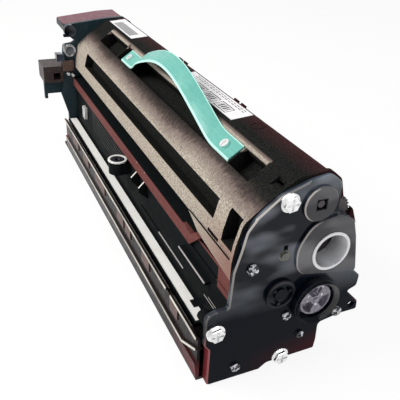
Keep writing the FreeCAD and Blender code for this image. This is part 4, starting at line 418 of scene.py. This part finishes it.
def bush():
    """Bush with painted light and shade: its wall is coloured bright where it faces up and to the left
    or out along the bore, and dark where it faces down.
    """
    m = Maker("bush_painted_light")
    lines = m.noise(1.0, 3.0, 0.6, (1500.0, 60.0, 60.0))
    # Painted light and shade, set by the way each face looks.
    facing = m.math("SUBTRACT", m.both(m.face_z, 0.55), m.both(m.face_y, 0.83))
    lit = m.either(m.span(facing, -0.55, 0.65), m.span(m.face_x, 0.5, 0.9))
    tone = m.mix(lit, (0.03, 0.04, 0.042), (0.86, 0.85, 0.87))
    m.colour(m.mix(m.span(lines, 0.3, 0.7, 0.0, 0.2), tone, (0.4, 0.41, 0.42)))
    return m.moulded(rough=(0.2, 0.32), grain=SMOOTH_GRAIN, depth=0.00001, specular=0.4)


def coupling():
    """Milky grey coupling with painted highlights as bright points."""
    m = Maker("coupling_grey")
    cloudy = m.span(m.noise(300.0, 3.0, 0.6), 0.35, 0.65)
    tone = m.mix(cloudy, (0.17, 0.155, 0.19), (0.3, 0.275, 0.34))
    # Painted highlights: small bright points.
    painted_glints = m.span(m.noise(240.0, 1.0), 0.65, 0.69)
    m.colour(m.mix(painted_glints, tone, (0.86, 0.86, 0.88)))
    return m.moulded(rough=(0.16, 0.3), grain=SMOOTH_GRAIN, depth=0.00002, mottle=50.0)


def strap():
    """Mint strap with painted highlights as paler lines along both rims."""
    m = Maker("strap_mint")
    patches = m.span(m.noise(1.0, 4.0, 0.6, (60.0, 400.0, 400.0)), 0.3, 0.7)
    body = m.mix(patches, (0.1, 0.34, 0.29), (0.13, 0.4, 0.345))
    # Painted highlights: paler lines along both rims.
    left, right = (m.span(m.y, *fade) for fade in STRAP_HIGHLIGHT_Y)
    strap_highlights = m.either(left, right)
    m.colour(m.mix(m.both(strap_highlights, 0.85), body, (0.5, 0.8, 0.73)))
    return m.moulded(rough=(0.3, 0.42), grain=SMOOTH_GRAIN, depth=0.00003, mottle=30.0, specular=0.3)


def guide():
    """Dark guide with reddish ends and a painted highlight along the ridge where it stands out
    farthest.
    """
    m = Maker("guide_black")
    speckle = m.noise(700.0, 4.0, 0.75)
    base = m.mix(m.span(speckle, 0.4, 0.66), (0.004, 0.004, 0.004), (0.022, 0.015, 0.014))
    foot = m.both(m.span(m.x, *GUIDE_FOOT_X), m.span(m.z, *GUIDE_FOOT_Z))
    ends = m.either(foot, m.span(m.x, *GUIDE_FAR_X))
    base = m.mix(m.both(ends, 0.8), base, (0.13, 0.022, 0.028))
    highlight_breakup = m.span(m.noise(1.0, 3.0, 0.6, (26.0, 300.0, 300.0)), 0.3, 0.6, 0.35, 1.0)
    # Painted highlight along the outermost ridge, broken up by noise.
    ridge_highlight = m.both(m.span(m.y, *RIDGE_HIGHLIGHT_Y), highlight_breakup)
    m.colour(m.mix(ridge_highlight, base, (0.6, 0.58, 0.53)))
    return m.moulded(rough=(0.25, 0.4), specular=0.06)


def inlet():
    """Dark blue-black panel plastic with a wine-red top."""
    m = Maker("inlet_dark")
    speckle = m.noise(900.0, 4.0, 0.75)
    base = m.mix(m.span(speckle, 0.4, 0.65), (0.004, 0.007, 0.009), (0.016, 0.024, 0.028))
    top = m.both(m.span(m.face_z, 0.5, 0.9), m.span(m.z, *INLET_TOP_Z))
    m.colour(m.mix(top, base, (0.13, 0.045, 0.06)))
    return m.moulded(rough=(0.35, 0.5), specular=0.2)


def label(name, shapes):
    """Glossy white label with plain dark shapes on it."""
    m = Maker(name)
    paper = m.mix(m.span(m.noise(120.0, 3.0), 0.3, 0.7), (0.7, 0.68, 0.7), (0.8, 0.79, 0.8))
    m.colour(m.mix(shapes(m), paper, (0.012, 0.012, 0.014)))
    return m.moulded(rough=(0.2, 0.3), grain=900.0, depth=0.00001)


def rear_print(m):
    """One plain grey field with fine lines."""
    field = m.box(*REAR_FIELD, 0.1)
    lines = m.linear(stripes(m, m.x, 2.1, 0.45), 0.3, 0.62)
    return m.both(field, lines)


def front_print(m):
    """Three plain bar groups in thin frames, with rows of short dashes beside them."""
    result = None
    for far, near in BAR_GROUPS_X:
        outer = m.box((far, near), FRAME_Y, None, 0.1)
        inner = m.box((far + FRAME_LINE, near - FRAME_LINE),
                      (FRAME_Y[0] + FRAME_LINE, FRAME_Y[1] - FRAME_LINE), None, 0.1)
        frame_line = m.math("SUBTRACT", outer, inner)
        bars = m.box((far + BAR_MARGIN, near - BAR_MARGIN), BARS_Y, None, 0.1)
        bars = m.both(bars, stripes(m, m.x, 3.8, 0.66))
        shape = m.either(frame_line, bars)
        result = shape if result is None else m.either(result, shape)
    rows = m.both(stripes(m, m.y, 2.2, 0.4), stripes(m, m.x, 5.7, 0.75))
    rows = m.both(rows, m.box(*ROWS_BOX, 0.1))
    return m.either(result, rows)


MATERIALS = {
    "casing_black": casing(),
    "housing_black": housing(),
    "plate_black": plate(),
    "far_panel_dark": plastic("far_panel_dark", (0.006, 0.018, 0.024), (0.016, 0.036, 0.045),
                              specular=0.2),
    "tray_black": plastic("tray_black", (0.01, 0.009, 0.009), (0.022, 0.018, 0.018), rough=(0.4, 0.55),
                          specular=0.2),
    "guide_black": guide(),
    "pad_tan": plastic("pad_tan", (0.06, 0.034, 0.03), (0.13, 0.075, 0.065), rough=(0.4, 0.6),
                       specular=0.3),
    "strip_metal": metal("strip_metal", (0.9, 0.89, 0.85), (0.98, 0.98, 0.96), rough=(0.3, 0.45),
                         metallic=0.05),
    "strap_mint": strap(),
    "screw_steel": metal("screw_steel", (0.7, 0.7, 0.7), (0.94, 0.94, 0.94), rough=(0.18, 0.34),
                         stretch=(900.0, 900.0, 900.0), depth=0.00003),
    "bush_steel": bush(),
    "drum_coating": plastic("drum_coating", (0.02, 0.12, 0.15), (0.03, 0.16, 0.19), rough=(0.06, 0.12),
                            grain=700.0, depth=0.000004, mottle=20.0, coat=0.6),
    "gear_plastic": plastic("gear_plastic", (0.03, 0.022, 0.025), (0.06, 0.045, 0.05)),
    "shaft_steel": metal("shaft_steel", (0.45, 0.45, 0.46), (0.68, 0.68, 0.7), rough=(0.15, 0.3)),
    "roller_rubber": rubber("roller_rubber", (0.02, 0.02, 0.022), (0.035, 0.035, 0.038), scale=1200.0,
                            depth=0.00002),
    "roller_foam": rubber("roller_foam", (0.03, 0.03, 0.034), (0.12, 0.12, 0.13), scale=700.0,
                          depth=0.0004),
    "bearing_plastic": plastic("bearing_plastic", (0.03, 0.03, 0.03), (0.06, 0.06, 0.06)),
    "blade_urethane": rubber("blade_urethane", (0.36, 0.2, 0.05), (0.46, 0.27, 0.08), scale=300.0,
                             depth=0.00001, rough=(0.25, 0.4)),
    "sleeve_aluminium": metal("sleeve_aluminium", (0.42, 0.42, 0.44), (0.6, 0.6, 0.62),
                              rough=(0.35, 0.5), stretch=(1600.0, 1600.0, 1600.0), depth=0.00003),
    "magnet_dark": rubber("magnet_dark", (0.05, 0.05, 0.05), (0.09, 0.09, 0.09), scale=500.0,
                          depth=0.00004),
    "coupling_grey": coupling(),
    "white_plastic": plastic("white_plastic", (0.68, 0.69, 0.66), (0.8, 0.8, 0.78), rough=(0.25, 0.4)),
    "connector_grey": plastic("connector_grey", (0.022, 0.015, 0.015), (0.06, 0.042, 0.04),
                              specular=0.2),
    "latch_brown": plastic("latch_brown", (0.06, 0.034, 0.024), (0.12, 0.07, 0.05)),
    "label_white": plastic("label_white", (0.7, 0.68, 0.7), (0.8, 0.79, 0.8), rough=(0.2, 0.3),
                           grain=900.0, depth=0.00002),
}

# Nodes whose finish differs from the rest of their slot
OWN_FINISH = {
    "fill_port_ring": port_ring(),
    "toner_inlet_block": inlet(),
    "hook_pin": plastic("hook_olive", (0.05, 0.05, 0.04), (0.12, 0.12, 0.1), rough=(0.2, 0.3),
                        coat=0.5),
    "small_screws": small_screw(),
    # Harness ring: dark, with pale patches painted as highlights.
    "harness_ring": plastic("harness_painted_glints", (0.02, 0.025, 0.03), (0.6, 0.61, 0.61), rough=(0.2, 0.35),
                            coat=0.3),
    "rear_label": label("rear_label", rear_print),
    "front_label": label("front_label", front_print),
}

# Width in mm of the rounded edges of each moulded or bent piece
SOFT_EDGES = {
    "top_casing": 0.5, "development_housing": 0.35, "near_end_plate": 0.35, "far_end_frame": 0.5,
    "base_tray": 0.35, "lower_guide": 0.2, "toner_inlet_block": 0.5, "connector_block": 0.4,
    "connector_foot": 0.3, "latch_block": 0.3, "latch_pad": 0.3, "carrying_strap": 0.45,
    "fill_port_ring": 0.35, "drive_cup": 0.3, "wire_clip": 0.2, "drum_bush": 0.15, "harness_ring": 0.4,
}

# How soften() treats a mesh: the gap that it joins in metres, and the angles in degrees
WELD_GAP = 0.00001
FLAT_ANGLE = 0.5
EDGE_ANGLE = 35.0
EDGE_STEPS = 2


def soften(node, width):
    """Join the split corners, clear flat faces of spare edges, then round what is sharp."""
    node.modifiers.new("weld", "WELD").merge_threshold = WELD_GAP
    flat = node.modifiers.new("flat", "DECIMATE")
    flat.decimate_type = "DISSOLVE"
    flat.angle_limit = math.radians(FLAT_ANGLE)
    bevel = node.modifiers.new("edges", "BEVEL")
    bevel.width = width * MM
    bevel.segments = EDGE_STEPS
    bevel.limit_method = "ANGLE"
    bevel.angle_limit = math.radians(EDGE_ANGLE)
    bevel.harden_normals = True


def dress_nodes():
    """Every CAD node gets its own finish or that of its slot, and many get fine rounded edges."""
    for row in frame["record"]["subparts"]:
        node = nodes[row["node"]]
        node.data.materials.clear()
        node.data.materials.append(OWN_FINISH.get(row["node"], MATERIALS[row["material_slot"]]))
        if row["node"] in SOFT_EDGES:
            soften(node, SOFT_EDGES[row["node"]])


# Floor and lights

FLOOR_WHITE = 0.9
FLOOR_HALF = 6.0
FLOOR_GAP = 0.0002
WORLD_LIGHT = 0.28
LAMP_AIM = (-0.2, -0.03, 0.0)

# Name, place, size, power and tint of each lamp
LAMPS = (
    ("key", (-0.45, -1.15, 1.05), (1.0, 0.6), 27.0, (1.0, 0.98, 0.95)),
    ("top", (-0.3, 0.3, 1.3), (1.0, 0.6), 5.0, (1.0, 1.0, 1.0)),
    ("front", (1.1, 0.1, 0.8), (0.6, 0.4), 4.0, (0.92, 0.96, 1.0)),
)


def seen_rays(tree):
    """One for the rays that show the backdrop: seen directly, mirrored, or through glass."""
    rays = tree.nodes.new("ShaderNodeLightPath")
    result = rays.outputs["Is Camera Ray"]
    for name in ("Is Glossy Ray", "Is Transmission Ray"):
        larger = tree.nodes.new("ShaderNodeMath")
        larger.operation = "MAXIMUM"
        tree.links.new(result, larger.inputs[0])
        tree.links.new(rays.outputs[name], larger.inputs[1])
        result = larger.outputs[0]
    return result


def make_floor():
    low = cad_box[0].z - FLOOR_GAP
    mesh = bpy.data.meshes.new("floor")
    build = bmesh.new()
    corners = [build.verts.new((x * FLOOR_HALF, y * FLOOR_HALF, low))
               for x, y in ((-1, -1), (1, -1), (1, 1), (-1, 1))]
    build.faces.new(corners)
    build.to_mesh(mesh)
    build.free()
    floor = bpy.data.objects.new("floor", mesh)
    bpy.context.scene.collection.objects.link(floor)
    m = Maker("floor")
    m.shader.inputs["Roughness"].default_value = 0.9
    m.shader.inputs["Specular IOR Level"].default_value = 0.1
    m.colour(m.mix(m.span(m.noise(4.0, 2.0), 0.3, 0.7), (0.92, 0.92, 0.92), (0.95, 0.95, 0.95)))
    white = m.add("ShaderNodeEmission", {"Color": (1.0, 1.0, 1.0, 1.0), "Strength": 1.0})
    blend = m.add("ShaderNodeMixShader")
    m.link(m.both(seen_rays(m.tree), FLOOR_WHITE), blend.inputs["Fac"])
    m.link(m.shader.outputs["BSDF"], blend.inputs[1])
    m.link(white.outputs["Emission"], blend.inputs[2])
    m.link(blend.outputs["Shader"], m.tree.nodes["Material Output"].inputs["Surface"])
    m.material.cycles.emission_sampling = "NONE"
    floor.data.materials.append(m.material)


def make_world():
    world = bpy.data.worlds.new("studio")
    bpy.context.scene.world = world
    world.use_nodes = True
    tree = world.node_tree
    lit = tree.nodes["Background"]
    lit.inputs["Color"].default_value = (1.0, 1.0, 1.0, 1.0)
    lit.inputs["Strength"].default_value = WORLD_LIGHT
    seen = tree.nodes.new("ShaderNodeBackground")
    seen.inputs["Color"].default_value = (1.0, 1.0, 1.0, 1.0)
    seen.inputs["Strength"].default_value = 1.0
    mix = tree.nodes.new("ShaderNodeMixShader")
    tree.links.new(seen_rays(tree), mix.inputs["Fac"])
    tree.links.new(lit.outputs["Background"], mix.inputs[1])
    tree.links.new(seen.outputs["Background"], mix.inputs[2])
    tree.links.new(mix.outputs["Shader"], tree.nodes["World Output"].inputs["Surface"])


def area_light(name, place, size, power, tint):
    data = bpy.data.lights.new(name, "AREA")
    data.shape = "RECTANGLE"
    data.size, data.size_y = size
    data.energy = power
    data.color = tint
    light = bpy.data.objects.new(name, data)
    light.location = place
    light.rotation_euler = (Vector(LAMP_AIM) - Vector(place)).to_track_quat("-Z", "Y").to_euler()
    bpy.context.scene.collection.objects.link(light)


make_camera()
make_world()
for lamp in LAMPS:
    area_light(*lamp)
make_floor()
dress_nodes()

bpy.context.scene.view_settings.view_transform = "Standard"
